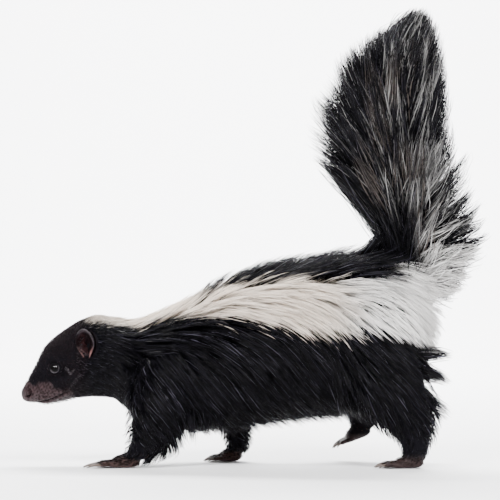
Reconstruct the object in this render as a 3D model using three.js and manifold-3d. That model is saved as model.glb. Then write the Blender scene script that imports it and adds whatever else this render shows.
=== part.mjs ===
// A striped skunk, life size, walking with its head low and its tail raised.
// Millimetres, +Z up. It faces -X and its left side is -Y. Three feet are on the ground; the right
// hind foot is in the air, swinging forward. Head, neck, torso, tail, legs, paws, ears, eyes and nose
// are separate closed solids. The long coat is built as flat, tapered locks rooted in each solid.

import * as THREE from 'three';
import { mergeVertices } from 'three/addons/utils/BufferGeometryUtils.js';
import Module from 'manifold-3d';

const wasm = await Module();
wasm.setup();

// Driving dimensions
const GAP = 0.35; // left between neighbouring nodes
const SLIVER = 0.03; // edges and faces thinner than this are merged away
const LONGEST_MITRE = 5; // how many gaps a sharp corner may move when a solid is grown
const BIG = 900; // reach of a cutting block
const LEFT = -1;
const RIGHT = 1;
const TRUNK_SIDES = 22;
const LEG_SIDES = 11;
const PALM_SIDES = 8;
const CORE_SHARE = 0.5; // how much of the coat's depth is a plain core under the locks
const NECK_FRONT = -139; // plane between head and neck
const NECK_TOP = -92; // the plane between neck and torso leans: its x at the back line
const NECK_LOW = -124; // and its x at the throat
const RUMP_FROM = 135; // behind this the body closes, and the coat stands behind it too
const STEEPEST = -1.35; // how far the belly's coat falls for each step backwards
const LOWEST_HAIR = 2.4; // how near the ground a lock comes
const RUMP_SHARE = 0.6; // the core's share of the closing end

// Head, neck and torso as upright sections of the coat's outline: heights of back and belly, half the
// width, how far up the section is widest, and the depth of the coat.
const TRUNK = [
  { x: -221, top: 68, low: 65, half: 2, wide: 0.5, coat: 0 },
  { x: -219.5, top: 73, low: 62, half: 5.5, wide: 0.45, coat: 0 },
  { x: -215, top: 80, low: 60, half: 8.5, wide: 0.42, coat: 0 },
  { x: -206, top: 96, low: 59.5, half: 11.5, wide: 0.34, coat: 0 },
  { x: -199, top: 110, low: 58.5, half: 14, wide: 0.36, coat: 0 },
  { x: -190, top: 119, low: 59.5, half: 18, wide: 0.42, coat: 0 },
  { x: -178, top: 127.5, low: 62, half: 24, wide: 0.48, coat: 0 },
  { x: -165, top: 135, low: 66, half: 29.5, wide: 0.5, coat: 0 },
  { x: -150, top: 139.5, low: 67.5, half: 32, wide: 0.52, coat: 0 },
  { x: -132, top: 138.5, low: 65, half: 33, wide: 0.5, coat: 1 },
  { x: -117, top: 140, low: 50, half: 38, wide: 0.46, coat: 6 },
  { x: -97, top: 146.5, low: 36, half: 47, wide: 0.45, coat: 10 },
  { x: -60, top: 160, low: 33, half: 54, wide: 0.45, coat: 13 },
  { x: -17, top: 182.5, low: 38, half: 58, wide: 0.45, coat: 15 },
  { x: 28, top: 195, low: 44, half: 61, wide: 0.45, coat: 16 },
  { x: 74, top: 201.5, low: 49, half: 63, wide: 0.47, coat: 17 },
  { x: 108, top: 208, low: 53, half: 62, wide: 0.5, coat: 18 },
  { x: 135, top: 208, low: 64, half: 54, wide: 0.52, coat: 18 },
  { x: 156, top: 192, low: 78, half: 40, wide: 0.52, coat: 18 },
  { x: 169, top: 172, low: 95, half: 26, wide: 0.52, coat: 14 },
  { x: 176, top: 150, low: 115, half: 12, wide: 0.5, coat: 8 },
];

// Legs as level sections of flesh and underfur: height, middle and half size along the body, middle
// and half size across.
const FORELEG_LEFT = [
  { z: 116, x: -78, rx: 18, y: -24, ry: 10 },
  { z: 96, x: -84, rx: 26, y: -30, ry: 18 },
  { z: 66, x: -92, rx: 24, y: -35, ry: 16 },
  { z: 44, x: -96, rx: 20, y: -37, ry: 14 },
  { z: 25, x: -101, rx: 14.5, y: -37, ry: 11 },
  { z: 14, x: -107, rx: 12.5, y: -36, ry: 9.5 },
  { z: 4, x: -112, rx: 9, y: -35, ry: 7 },
];
const FORELEG_RIGHT = [
  { z: 116, x: -68, rx: 18, y: 24, ry: 10 },
  { z: 96, x: -62, rx: 27, y: 30, ry: 18 },
  { z: 66, x: -44, rx: 21, y: 35, ry: 16 },
  { z: 44, x: -26, rx: 15, y: 37, ry: 13 },
  { z: 26, x: -18, rx: 9.5, y: 37, ry: 9.5 },
  { z: 14, x: -16, rx: 9, y: 36, ry: 9 },
  { z: 4, x: -20, rx: 7, y: 36, ry: 7 },
];
const HINDLEG_LEFT = [
  { z: 172, x: 104, rx: 24, y: -24, ry: 12 },
  { z: 140, x: 110, rx: 36, y: -33, ry: 22 },
  { z: 100, x: 117, rx: 39, y: -39, ry: 20 },
  { z: 70, x: 127, rx: 36, y: -42, ry: 17 },
  { z: 45, x: 139, rx: 27, y: -42, ry: 14 },
  { z: 30, x: 147, rx: 18, y: -42, ry: 11.5 },
  { z: 20, x: 150, rx: 13, y: -41, ry: 10 },
  { z: 12, x: 149, rx: 11.5, y: -40, ry: 9 },
  { z: 4, x: 147, rx: 9, y: -40, ry: 7 },
];
const HINDLEG_RIGHT = [
  { z: 172, x: 104, rx: 24, y: 24, ry: 12 },
  { z: 140, x: 108, rx: 36, y: 33, ry: 22 },
  { z: 100, x: 104, rx: 38, y: 39, ry: 20 },
  { z: 70, x: 102, rx: 30, y: 41, ry: 17 },
  { z: 50, x: 106, rx: 20, y: 42, ry: 13 },
  { z: 38, x: 106, rx: 13, y: 41, ry: 10 },
  { z: 25, x: 101, rx: 8.5, y: 40, ry: 7.5 },
];

// The tail's plume as level sections of its outline: height, front and back edge, half the width, and
// where the dock, the tail's flesh and bone, passes through it.
const PLUME = [
  { z: 178, front: 150, back: 176, half: 9, dock: 152 },
  { z: 190, front: 134, back: 208, half: 22, dock: 146 },
  { z: 209, front: 127, back: 220, half: 34, dock: 140 },
  { z: 228, front: 120, back: 217, half: 44, dock: 138 },
  { z: 247, front: 105, back: 214, half: 52, dock: 137 },
  { z: 266, front: 83, back: 209, half: 58, dock: 135 },
  { z: 304, front: 60, back: 193, half: 62, dock: 131 },
  { z: 342, front: 62, back: 179, half: 56, dock: 129 },
  { z: 380, front: 79, back: 178, half: 44, dock: 136 },
  { z: 402, front: 98, back: 177, half: 33, dock: 146 },
  { z: 420, front: 130, back: 174, half: 18, dock: 156 },
  { z: 431, front: 152, back: 167, half: 6, dock: 160 },
];

// The tail's core, as heights: its ends, the spacing of its rings and where it starts to round off.
const TAIL_SIDES = 16;
const TAIL_CORE = { low: 184, top: 400, step: 24, full: 330 };

// The coat's locks, a set for each part: rows of them from one x to another, and how many go round.
const TORSO_COAT = { seed: 7, from: -108, to: 154, rows: 11, round: 9, spread: 4 };
const NECK_COAT = { seed: 3, from: -130, to: -106, rows: 2, round: 8, spread: 2 };

// A lock of the trunk, in millimetres and as shares of the coat's depth there. Under the belly it is
// shorter.
const BODY_LOCK = { length: 26, longer: 1.7, rise: 0.5, thick: 3, thicker: 0.1, bellyShare: 0.82 };

// The tail's locks: heights of the first and last row of roots, how many go round there, how far their
// tips rise at the back, front and top, and how they leave the dock.
const TAIL_COAT = {
  seed: 11, rows: 8, round: 8, roundTop: 6, from: 200, to: 366, riseBack: 6, riseFront: 62, riseTop: 60,
  highest: 431, width: 33, thick: 7, rootShare: 0.3, bow: 0.14, bend: 0.34, leastReach: 0.93,
  mostReach: 1.07,
};
const OVER_RUMP = { rows: 0.3, clear: 3, mostLift: 9 }; // the tail's lowest locks lie over the rump

const COAT_BLACK = new THREE.MeshStandardMaterial({ color: 0x14120f, roughness: 0.75 });
const COAT_TAIL = new THREE.MeshStandardMaterial({ color: 0x2b2825, roughness: 0.8 });
const BARE_SKIN = new THREE.MeshStandardMaterial({ color: 0x4a3733, roughness: 0.6 });
const EYE = new THREE.MeshStandardMaterial({ color: 0x060505, roughness: 0.08 });

// Numbers that look random and are the same on every run.
function seeded(seed) {
  let state = seed;
  return (low, high) => {
    state = (state * 16807) % 2147483647;
    return low + ((high - low) * state) / 2147483647;
  };
}

// Faces turned to point outwards, as a geometry.
function outwards(points, faces) {
  const cross = new THREE.Vector3();
  const volume = faces.reduce(
    (sum, [a, b, c]) => sum + points[a].dot(cross.crossVectors(points[b], points[c])),
    0,
  );
  const order = volume < 0 ? faces.map(([a, b, c]) => [a, c, b]) : faces;
  return new THREE.BufferGeometry().setFromPoints(points).setIndex(order.flat());
}

// Faces of the wall between rings that all have n points.
function wall(count, n) {
  const faces = [];
  for (let i = 0; i + 1 < count; i++)
    for (let k = 0; k < n; k++) {
      const a = i * n + k;
      const b = i * n + ((k + 1) % n);
      faces.push([a, b, b + n], [a, b + n, a + n]);
    }
  return faces;
}

// A closed surface over rings, with a fan over each end.
function closedSkin(rings) {
  const n = rings[0].length;
  const ends = [rings[0], rings[rings.length - 1]].map((ring) =>
    ring.reduce((sum, p) => sum.add(p), new THREE.Vector3()).divideScalar(n),
  );
  const first = rings.length * n;
  const last = first - n;
  const faces = wall(rings.length, n);
  for (let k = 0; k < n; k++) {
    faces.push([first, (k + 1) % n, k]);
    faces.push([first + 1, last + k, last + ((k + 1) % n)]);
  }
  return outwards([...rings.flat(), ...ends], faces);
}

// A closed surface over three-sided rings that ends in a point.
function spike(rings, tip) {
  const apex = rings.length * 3;
  const last = apex - 3;
  const faces = [[0, 2, 1], ...wall(rings.length, 3)];
  for (let k = 0; k < 3; k++) faces.push([last + k, last + ((k + 1) % 3), apex]);
  return outwards([...rings.flat(), tip], faces);
}

// How far each corner of a mesh moves for all of its faces to move out by grow.
function moves(positions, faces, grow) {
  const point = (i) => new THREE.Vector3().fromArray(positions, i * 3);
  const normals = new Map();
  for (let i = 0; i < faces.length; i += 3) {
    const corners = [...faces.slice(i, i + 3)];
    const normal = new THREE.Triangle(...corners.map(point)).getNormal(new THREE.Vector3());
    for (const corner of corners) normals.set(corner, [...(normals.get(corner) ?? []), normal]);
  }
  const found = new Float32Array(positions.length);
  for (const [corner, around] of normals) {
    const move = new THREE.Vector3();
    for (let pass = 0; pass < 40; pass++)
      for (const normal of around) {
        const short = grow - move.dot(normal);
        if (short > 0) move.addScaledVector(normal, short);
      }
    move.clampLength(0, grow * LONGEST_MITRE).toArray(found, corner * 3);
  }
  return found;
}

// A geometry as a solid that can be joined and cut. grow moves its faces out.
function solid(geometry, grow = 0) {
  const bare = geometry.clone();
  bare.deleteAttribute('normal');
  bare.deleteAttribute('uv');
  const merged = mergeVertices(bare, 1e-4);
  const faces = new Uint32Array(merged.index.array);
  const positions = merged.attributes.position.array;
  const moved = grow ? moves(positions, faces, grow) : null;
  return new wasm.Manifold(
    new wasm.Mesh({
      numProp: 3,
      vertProperties: moved ? positions.map((v, i) => v + moved[i]) : positions,
      triVerts: faces,
    }),
  );
}

// The largest closed piece of a solid.
function largest(made) {
  return made.decompose().sort((a, b) => b.volume() - a.volume())[0];
}

// A named mesh from a solid, without the slivers that joining and cutting leave.
function node(name, made, material) {
  const mesh = largest(largest(made).simplify(SLIVER)).getMesh();
  const geometry = new THREE.BufferGeometry()
    .setAttribute('position', new THREE.BufferAttribute(mesh.vertProperties, 3))
    .setIndex(new THREE.BufferAttribute(mesh.triVerts, 1));
  geometry.computeVertexNormals();
  const named = new THREE.Mesh(geometry, material);
  named.name = name;
  return named;
}

// One measure of a table of sections at a place between them, on a smooth curve with no overshoot.
function measure(table, along, key, at) {
  const rising = table[0][along] < table[table.length - 1][along] ? 1 : -1;
  const t = at * rising;
  const places = table.map((row) => row[along] * rising);
  const last = places.length - 1;
  const i = Math.max(0, Math.min(last - 1, places.findLastIndex((p) => p <= t)));
  const slope = (j) => (table[j + 1][key] - table[j][key]) / (places[j + 1] - places[j]);
  const tangent = (j) => {
    if (j === 0) return slope(0);
    if (j === last) return slope(last - 1);
    const [a, b] = [slope(j - 1), slope(j)];
    return a * b <= 0 ? 0 : (2 * a * b) / (a + b);
  };
  const span = places[i + 1] - places[i];
  const s = Math.max(0, Math.min(1, (t - places[i]) / span));
  const [p, q] = [table[i][key], table[i + 1][key]];
  return (
    p + (q - p) * (3 - 2 * s) * s * s +
    span * (tangent(i) * s * (1 - s) ** 2 - tangent(i + 1) * s * s * (1 - s))
  );
}

// Places from one end of a table to the other, closer together where its rows are.
function places(table, along, between) {
  const found = [];
  table.slice(1).forEach((row, i) => {
    for (let k = 0; k < between; k++)
      found.push(THREE.MathUtils.lerp(table[i][along], row[along], k / between));
  });
  return [...found, table[table.length - 1][along]];
}

const squared = (v, power) => Math.sign(v) * Math.abs(v) ** power;

// A point on the trunk at x, turned round the section from its right side over the back. share is how
// much of the coat's depth lies outside it.
function trunkPoint(x, turn, share = CORE_SHARE) {
  const at = (key) => measure(TRUNK, 'x', key, x);
  const inset = at('coat') * share;
  const middle = THREE.MathUtils.lerp(at('low'), at('top'), at('wide'));
  const up = squared(Math.sin(turn), 0.92);
  const reach = up > 0 ? at('top') - middle : middle - at('low');
  const behindRump = Math.max(0, x - RUMP_FROM) * (share > 0 ? RUMP_SHARE : 1);
  return new THREE.Vector3(
    Math.min(x, RUMP_FROM) + behindRump,
    squared(Math.cos(turn), 0.92) * (at('half') - inset),
    middle + up * (reach - inset),
  );
}

function trunk(between, grow = 0) {
  const rings = places(TRUNK, 'x', between).map((x) =>
    Array.from({ length: TRUNK_SIDES }, (_, k) => trunkPoint(x, (k / TRUNK_SIDES) * Math.PI * 2)),
  );
  return solid(closedSkin(rings), grow);
}

function legPoint(table, z, turn) {
  const at = (key) => measure(table, 'z', key, z);
  return new THREE.Vector3(
    at('x') + Math.cos(turn) * at('rx'),
    at('y') + Math.sin(turn) * at('ry'),
    z,
  );
}

function leg(table, grow = 0) {
  const rings = places(table, 'z', 2).map((z) =>
    Array.from({ length: LEG_SIDES }, (_, k) => legPoint(table, z, (k / LEG_SIDES) * Math.PI * 2)),
  );
  return solid(closedSkin(rings), grow);
}

// The coat

// The surface that locks lie over: for a point, the height above it and its outward normal there.
function surface(made) {
  const mesh = made.getMesh();
  const point = (i) => new THREE.Vector3().fromArray(mesh.vertProperties, i * 3);
  const faces = [];
  for (let i = 0; i < mesh.triVerts.length; i += 3)
    faces.push(new THREE.Triangle(...[0, 1, 2].map((k) => point(mesh.triVerts[i + k]))));
  const normals = faces.map((face) => face.getNormal(new THREE.Vector3()));
  const spot = new THREE.Vector3();
  return (p) => {
    let [best, near, at] = [Infinity, 0, null];
    faces.forEach((face, i) => {
      face.closestPointToPoint(p, spot);
      const away = spot.distanceToSquared(p);
      if (away < best - 1e-9) [best, near, at] = [away, i, spot.clone()];
    });
    const height = Math.sqrt(best) * (p.clone().sub(at).dot(normals[near]) >= 0 ? 1 : -1);
    return { height, normal: normals[near] };
  };
}

const LOCK_RINGS = [0, 0.42, 0.78]; // places of a lock's sections along it
const LOCK_WIDTHS = [0.4, 1, 0.66]; // and their share of its full width
const LOCK_STEPS = 20;
const SINK = 4.5; // how deep a root is sunk

// A flat, tapered lock along a fine path, with its ridge outwards.
function lock(path, width, thick, outward, grow = 0) {
  const at = (s) => path[Math.round(s * (path.length - 1))];
  const rings = LOCK_RINGS.map((s, i) => {
    const here = at(s);
    const ahead = at(Math.min(1, s + 0.1)).clone().sub(at(Math.max(0, s - 0.1))).normalize();
    const across = new THREE.Vector3().crossVectors(outward(here), ahead).normalize();
    const out = new THREE.Vector3().crossVectors(ahead, across).normalize();
    const half = (width * LOCK_WIDTHS[i]) / 2;
    return [
      here.clone().addScaledVector(across, half),
      here.clone().addScaledVector(across, -half),
      here.clone().addScaledVector(out, thick * (1 - 0.35 * s)),
    ];
  });
  return solid(spike(rings, path[path.length - 1]), grow);
}

// A path that starts under the surface, runs with the lie of the coat and keeps above every surface.
function combed(root, normal, lie, length, rise, heightOver) {
  const path = [root.clone().addScaledVector(normal, -SINK)];
  const step = length / LOCK_STEPS;
  let here = root.clone();
  for (let i = 1; i <= LOCK_STEPS; i++) {
    const s = i / LOCK_STEPS;
    here = here.clone().addScaledVector(lie(here, s), step);
    const least = rise * Math.min(1, s * 1.5) - (1 - Math.min(1, s * 4)) * SINK * 0.6;
    const near = heightOver(here);
    if (near.height < least) here.addScaledVector(near.normal, least - near.height);
    path.push(here);
  }
  return path;
}

// The lie of the coat at a point of the body: backwards, and more downwards the lower it is.
function bodyLie(p) {
  const top = (x) => measure(TRUNK, 'x', 'top', Math.min(110, x));
  const low = measure(TRUNK, 'x', 'low', Math.min(p.x, 120));
  const down = 1 - THREE.MathUtils.clamp((p.z - low) / (top(p.x) - low), 0, 1);
  const climb = (top(p.x + 10) - top(p.x - 10)) / 20;
  const fall = THREE.MathUtils.lerp(climb, STEEPEST, Math.min(1, down * 1.25) ** 0.8);
  return new THREE.Vector3(1, 0, fall).normalize();
}

// Locks of the trunk: rooted on its core, they follow the lie and rise to the coat's outline.
function trunkLocks(coatSet, over) {
  const pick = seeded(coatSet.seed);
  const made = [];
  for (let i = 0; i < coatSet.rows; i++)
    for (let k = 0; k < coatSet.round; k++) {
      const x =
        THREE.MathUtils.lerp(coatSet.from, coatSet.to, i / (coatSet.rows - 1)) +
        pick(-1, 1) * coatSet.spread;
      const turn = ((k + (i % 2) / 2 + pick(-0.12, 0.12)) / coatSet.round) * Math.PI * 2;
      const root = trunkPoint(x, turn);
      const ahead = trunkPoint(x + 2, turn).sub(trunkPoint(x - 2, turn));
      const round = trunkPoint(x, turn + 0.05).sub(trunkPoint(x, turn - 0.05));
      const normal = round.cross(ahead).normalize();
      const coat = measure(TRUNK, 'x', 'coat', x);
      const belly = THREE.MathUtils.clamp(-Math.sin(turn), 0, 1);
      const share = THREE.MathUtils.lerp(1, BODY_LOCK.bellyShare, belly);
      const length = (BODY_LOCK.length + coat * BODY_LOCK.longer) * pick(0.88, 1.12) * share;
      const lie = bodyLie(root);
      const tucked = lie.clone().addScaledVector(normal, -lie.dot(normal)).normalize();
      const wayAt = (p, s) => (s < 0.5 ? tucked : bodyLie(p));
      const path = combed(root, normal, wayAt, length, coat * BODY_LOCK.rise, over);
      if (path[path.length - 1].z < LOWEST_HAIR) continue;
      const around = (Math.PI * 2 * measure(TRUNK, 'x', 'half', x)) / coatSet.round;
      const width = around * pick(0.62, 0.82);
      const thick = BODY_LOCK.thick + coat * BODY_LOCK.thicker;
      made.push({ path, width, thick, outward: (p) => over(p).normal });
    }
  return made;
}

// A point on the tail's plume at height z, turned round it from its back edge. share is how far out
// from the dock towards the outline.
function plumePoint(z, turn, share) {
  const at = (key) => measure(PLUME, 'z', key, z);
  const middle = (at('front') + at('back')) / 2;
  const edge = middle + (Math.cos(turn) * (at('back') - at('front'))) / 2;
  const y = Math.sin(turn) * at('half');
  return new THREE.Vector3(THREE.MathUtils.lerp(at('dock'), edge, share), y * share, z);
}

function plumeCore() {
  const rings = [];
  for (let z = TAIL_CORE.low; z <= TAIL_CORE.top; z += TAIL_CORE.step) {
    const over = Math.max(0, (z - TAIL_CORE.full) / (TAIL_CORE.top + 4 - TAIL_CORE.full));
    const share = CORE_SHARE * Math.sqrt(1 - over * over);
    rings.push(
      Array.from({ length: TAIL_SIDES }, (_, k) =>
        plumePoint(z, (k / TAIL_SIDES) * Math.PI * 2, share),
      ),
    );
  }
  return solid(closedSkin(rings));
}

// Locks of the plume: they leave the dock outwards and sweep up to tips on the outline.
function plumeLocks(over) {
  const pick = seeded(TAIL_COAT.seed);
  const made = [];
  for (let i = 0; i < TAIL_COAT.rows; i++) {
    const share = i / (TAIL_COAT.rows - 1);
    const rootZ = THREE.MathUtils.lerp(TAIL_COAT.from, TAIL_COAT.to, share);
    const count = Math.round(THREE.MathUtils.lerp(TAIL_COAT.round, TAIL_COAT.roundTop, share));
    for (let k = 0; k < count; k++) {
      const turn = ((k + (i % 2) / 2 + pick(-0.15, 0.15)) / count) * Math.PI * 2;
      const front = (1 - Math.cos(turn)) / 2;
      const rise =
        THREE.MathUtils.lerp(
          THREE.MathUtils.lerp(TAIL_COAT.riseBack, TAIL_COAT.riseFront, front),
          TAIL_COAT.riseTop,
          share ** 1.2,
        ) + pick(-7, 7);
      const tipZ = Math.min(rootZ + rise, TAIL_COAT.highest);
      const root = plumePoint(rootZ, turn, TAIL_COAT.rootShare);
      const reach = pick(TAIL_COAT.leastReach, TAIL_COAT.mostReach);
      const tip = plumePoint(tipZ, turn + pick(-0.1, 0.1), reach);
      const bow = tip.clone().sub(plumePoint(tipZ, turn, 0)).setZ(0);
      const bend = root.clone().lerp(tip, 0.5).addScaledVector(bow, TAIL_COAT.bow);
      bend.z = rootZ + rise * TAIL_COAT.bend;
      const path = new THREE.QuadraticBezierCurve3(root, bend, tip).getPoints(LOCK_STEPS);
      if (share < OVER_RUMP.rows)
        for (const p of path.slice(4)) {
          const short = OVER_RUMP.clear - over(p).height;
          if (short > 0) p.z += Math.min(short, OVER_RUMP.mostLift);
        }
      const roll = pick(-1, 1);
      const side = new THREE.Vector3(0, Math.sin(turn) < 0 ? -1 : 1, 0);
      const facing = bow.clone().normalize().lerp(side, 0.5 + 0.4 * roll).setZ(-0.3);
      const width = TAIL_COAT.width * pick(0.82, 1.15) * (1 - 0.25 * share);
      made.push({ path, width, thick: TAIL_COAT.thick, outward: () => facing });
    }
  }
  return made;
}

// Locks of a leg: rooted round it, they hang down and back.
function legLocks(table, rows, side, over) {
  const pick = seeded(5);
  const made = [];
  for (const row of rows)
    for (let k = 0; k < row.count; k++) {
      const left = THREE.MathUtils.lerp(row.from, row.to, k / (row.count - 1)) + pick(-0.1, 0.1);
      const turn = -side * left;
      const root = legPoint(table, row.z, turn);
      const normal = new THREE.Vector3(Math.cos(turn), Math.sin(turn), 0);
      const lie = new THREE.Vector3(row.back, 0, -1).normalize();
      const path = combed(root, normal, () => lie, row.length * pick(0.9, 1.1), row.rise, over);
      for (const p of path) p.z = Math.max(p.z, LOWEST_HAIR);
      const width = row.width * pick(0.85, 1.1);
      made.push({ path, width, thick: BODY_LOCK.thick, outward: (p) => over(p).normal });
    }
  return made;
}

// A block that holds everything behind a plane that leans from (xLow, zLow) to (xTop, zTop).
function behind(xLow, zLow, xTop, zTop) {
  const block = new THREE.BoxGeometry(BIG, BIG, BIG).translate(BIG / 2, 0, 0);
  block.rotateY(Math.atan2(xTop - xLow, zTop - zLow));
  block.translate(xLow, 0, zLow);
  return solid(block);
}

// Paws: local frame with the toes towards -X, the sole on z = 0 and the heel near x = 0.
const FORE_PAW = { length: 40, width: 21, height: 15, toe: 13, claw: 14, spread: 0.5 };
const HIND_PAW = { length: 42, width: 20, height: 13, toe: 11, claw: 7, spread: 0.42 };
const TOES = 5;
const TOE_SIDES = 4;
const CLAW = [
  { share: 0, high: 2.1, thick: 1.6 },
  { share: 0.55, high: 2.2, thick: 1.2 },
]; // sections of a claw along its length

function paw(size) {
  const palm = [];
  const steps = 5;
  for (let i = 0; i <= steps; i++) {
    const s = i / steps;
    const x = -size.length * 0.72 * s;
    const end = Math.sqrt(Math.max(0.06, 1 - (2 * Math.abs(s - 0.5)) ** 4));
    const half = (size.width / 2) * end * (0.74 + 0.26 * s);
    const high = size.height * end * (1 - 0.42 * s);
    palm.push(
      Array.from({ length: PALM_SIDES }, (_, k) => {
        const turn = (k / PALM_SIDES) * Math.PI * 2;
        return new THREE.Vector3(x, Math.cos(turn) * half, high * (0.42 + 0.58 * Math.sin(turn)));
      }),
    );
  }
  const pieces = [solid(closedSkin(palm))];
  for (let i = 0; i < TOES; i++) {
    const side = i - (TOES - 1) / 2;
    const turn = side * size.spread * 0.22;
    const reach = size.toe * (1 - 0.09 * side * side);
    const thick = size.width * 0.13;
    const start = new THREE.Vector3(-size.length * 0.58, side * size.width * 0.185, 0);
    const ahead = new THREE.Vector3(-Math.cos(turn), Math.sin(turn), 0);
    const along = (d, z) => start.clone().addScaledVector(ahead, d).setZ(z);
    const run = size.length * 0.14 + reach;
    const toe = [along(0, thick * 1.2), along(run * 0.6, thick * 1.3), along(run, thick * 0.9)];
    pieces.push(tube(toe, [thick, thick * 1.05, thick * 0.5], TOE_SIDES));
    const claw = CLAW.map(({ share, high, thick: half }) => {
      const middle = along(run - 2 + size.claw * share, high);
      const across = new THREE.Vector3(-ahead.y, ahead.x, 0);
      return [
        middle.clone().addScaledVector(across, half),
        middle.clone().addScaledVector(across, -half),
        middle.clone().setZ(high + half * 1.6),
      ];
    });
    pieces.push(solid(spike(claw, along(run - 2 + size.claw, 0.5))));
  }
  return wasm.Manifold.union(pieces);
}

// A round rod through points, with a radius at each.
function tube(points, radii, sides) {
  const rings = points.map((p, i) => {
    const ahead = points[Math.min(i + 1, points.length - 1)]
      .clone()
      .sub(points[Math.max(i - 1, 0)])
      .normalize();
    const across = new THREE.Vector3(0, 0, 1).cross(ahead);
    if (across.length() < 0.2) across.set(0, 1, 0);
    across.normalize();
    const up = ahead.clone().cross(across);
    return Array.from({ length: sides }, (_, k) => {
      const turn = (k / sides) * Math.PI * 2;
      return p
        .clone()
        .addScaledVector(across, Math.cos(turn) * radii[i])
        .addScaledVector(up, Math.sin(turn) * radii[i]);
    });
  });
  return solid(closedSkin(rings));
}

// Places a paw: where its heel is, which way it turns and how far its toes drop.
function placed(made, { x, y, z = 0, side, drop = 0, out = 4 }) {
  return made.rotate([0, -drop, side * out]).translate([x, y, z]);
}

// The head's own details
const EYE_AT = { x: -187.6, y: 15.9, z: 92 };
const EYE_R = 4.6;
const EAR_AT = { x: -156.5, y: 31, z: 114.5 };
const NOSE_AT = { x: -215.6, z: 68 };
const NOSE = { rx: 6, ry: 7.6, rz: 7.6 };
const NOSTRIL = { x: -220, y: 4.2, z: 68.5, r: 1.9 };
const LID = { thick: 1.1, long: 3.7, high: 2.7, deep: 4.6, ahead: 24, tilt: -10 };
const MOUTH = [
  { x: -206, z: 61, lip: 0.8 },
  { x: -196, z: 63, lip: 1.7 },
  { x: -184, z: 66.5, lip: 1.7 },
  { x: -174.5, z: 70, lip: 0.8 },
];
const SLIT = { deep: 1.6, out: 2.5, half: 0.55 };

function eyeball(side, grow = 0) {
  const ball = new THREE.SphereGeometry(EYE_R, 11, 7);
  return solid(ball.translate(EYE_AT.x, side * EYE_AT.y, EYE_AT.z), grow);
}

// The lids wrap the eyeball and leave a long opening.
function lids(side) {
  const around = solid(new THREE.SphereGeometry(EYE_R + LID.thick, 10, 6));
  const opening = solid(new THREE.SphereGeometry(1, 8, 4).scale(LID.long, LID.deep, LID.high));
  const cut = opening.rotate([0, LID.tilt, -side * LID.ahead]).translate([-2.4, side * 4.6, 0.3]);
  return around.subtract(cut).translate([EYE_AT.x, side * EYE_AT.y, EYE_AT.z]);
}

function nose(grow = 0) {
  const pad = new THREE.SphereGeometry(1, 10, 7).scale(NOSE.rx, NOSE.ry, NOSE.rz);
  return solid(pad.translate(NOSE_AT.x, 0, NOSE_AT.z), grow);
}

function nostril(side) {
  const hole = new THREE.SphereGeometry(NOSTRIL.r, 6, 4).scale(1.5, 0.8, 1);
  return solid(hole.translate(NOSTRIL.x, side * NOSTRIL.y, NOSTRIL.z));
}

// The point of the head's side at x and height z, below its widest line.
function cheek(x, z, side, out) {
  let [low, high] = [-Math.PI / 2, 0];
  for (let pass = 0; pass < 30; pass++) {
    const turn = (low + high) / 2;
    if (trunkPoint(x, turn).z < z) low = turn;
    else high = turn;
  }
  return new THREE.Vector3(x, side * (trunkPoint(x, low).y + out), z);
}

// Lips as a rim along each side of the mouth, and the slit that parts them.
function lips(side) {
  const line = MOUTH.map(({ x, z, lip }) => cheek(x, z, side, lip * 0.2));
  return tube(line, MOUTH.map(({ lip }) => lip), 4);
}

function slit(side) {
  const rings = MOUTH.map(({ x, z }) => {
    const [inner, outer] = [-SLIT.deep, SLIT.out].map((out) => cheek(x, z, side, out));
    const shift = (p, up) => p.clone().setZ(p.z + up);
    return [shift(inner, 0), shift(outer, -SLIT.half), shift(outer, SLIT.half)];
  });
  return solid(closedSkin(rings));
}

function ear(side) {
  const outer = solid(new THREE.SphereGeometry(1, 12, 8).scale(9.6, 7, 13.4));
  const hollow = new THREE.SphereGeometry(1, 10, 7).scale(7.2, 8, 10.8);
  const cup = outer.subtract(solid(hollow).translate([-0.8, -5.4, 0.4]));
  const turned = side === LEFT ? cup : cup.mirror([0, 1, 0]);
  return turned.translate([EAR_AT.x, side * EAR_AT.y, EAR_AT.z]);
}

const built = (set, grow) => set.map((one) => lock(one.path, one.width, one.thick, one.outward, grow));

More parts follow.
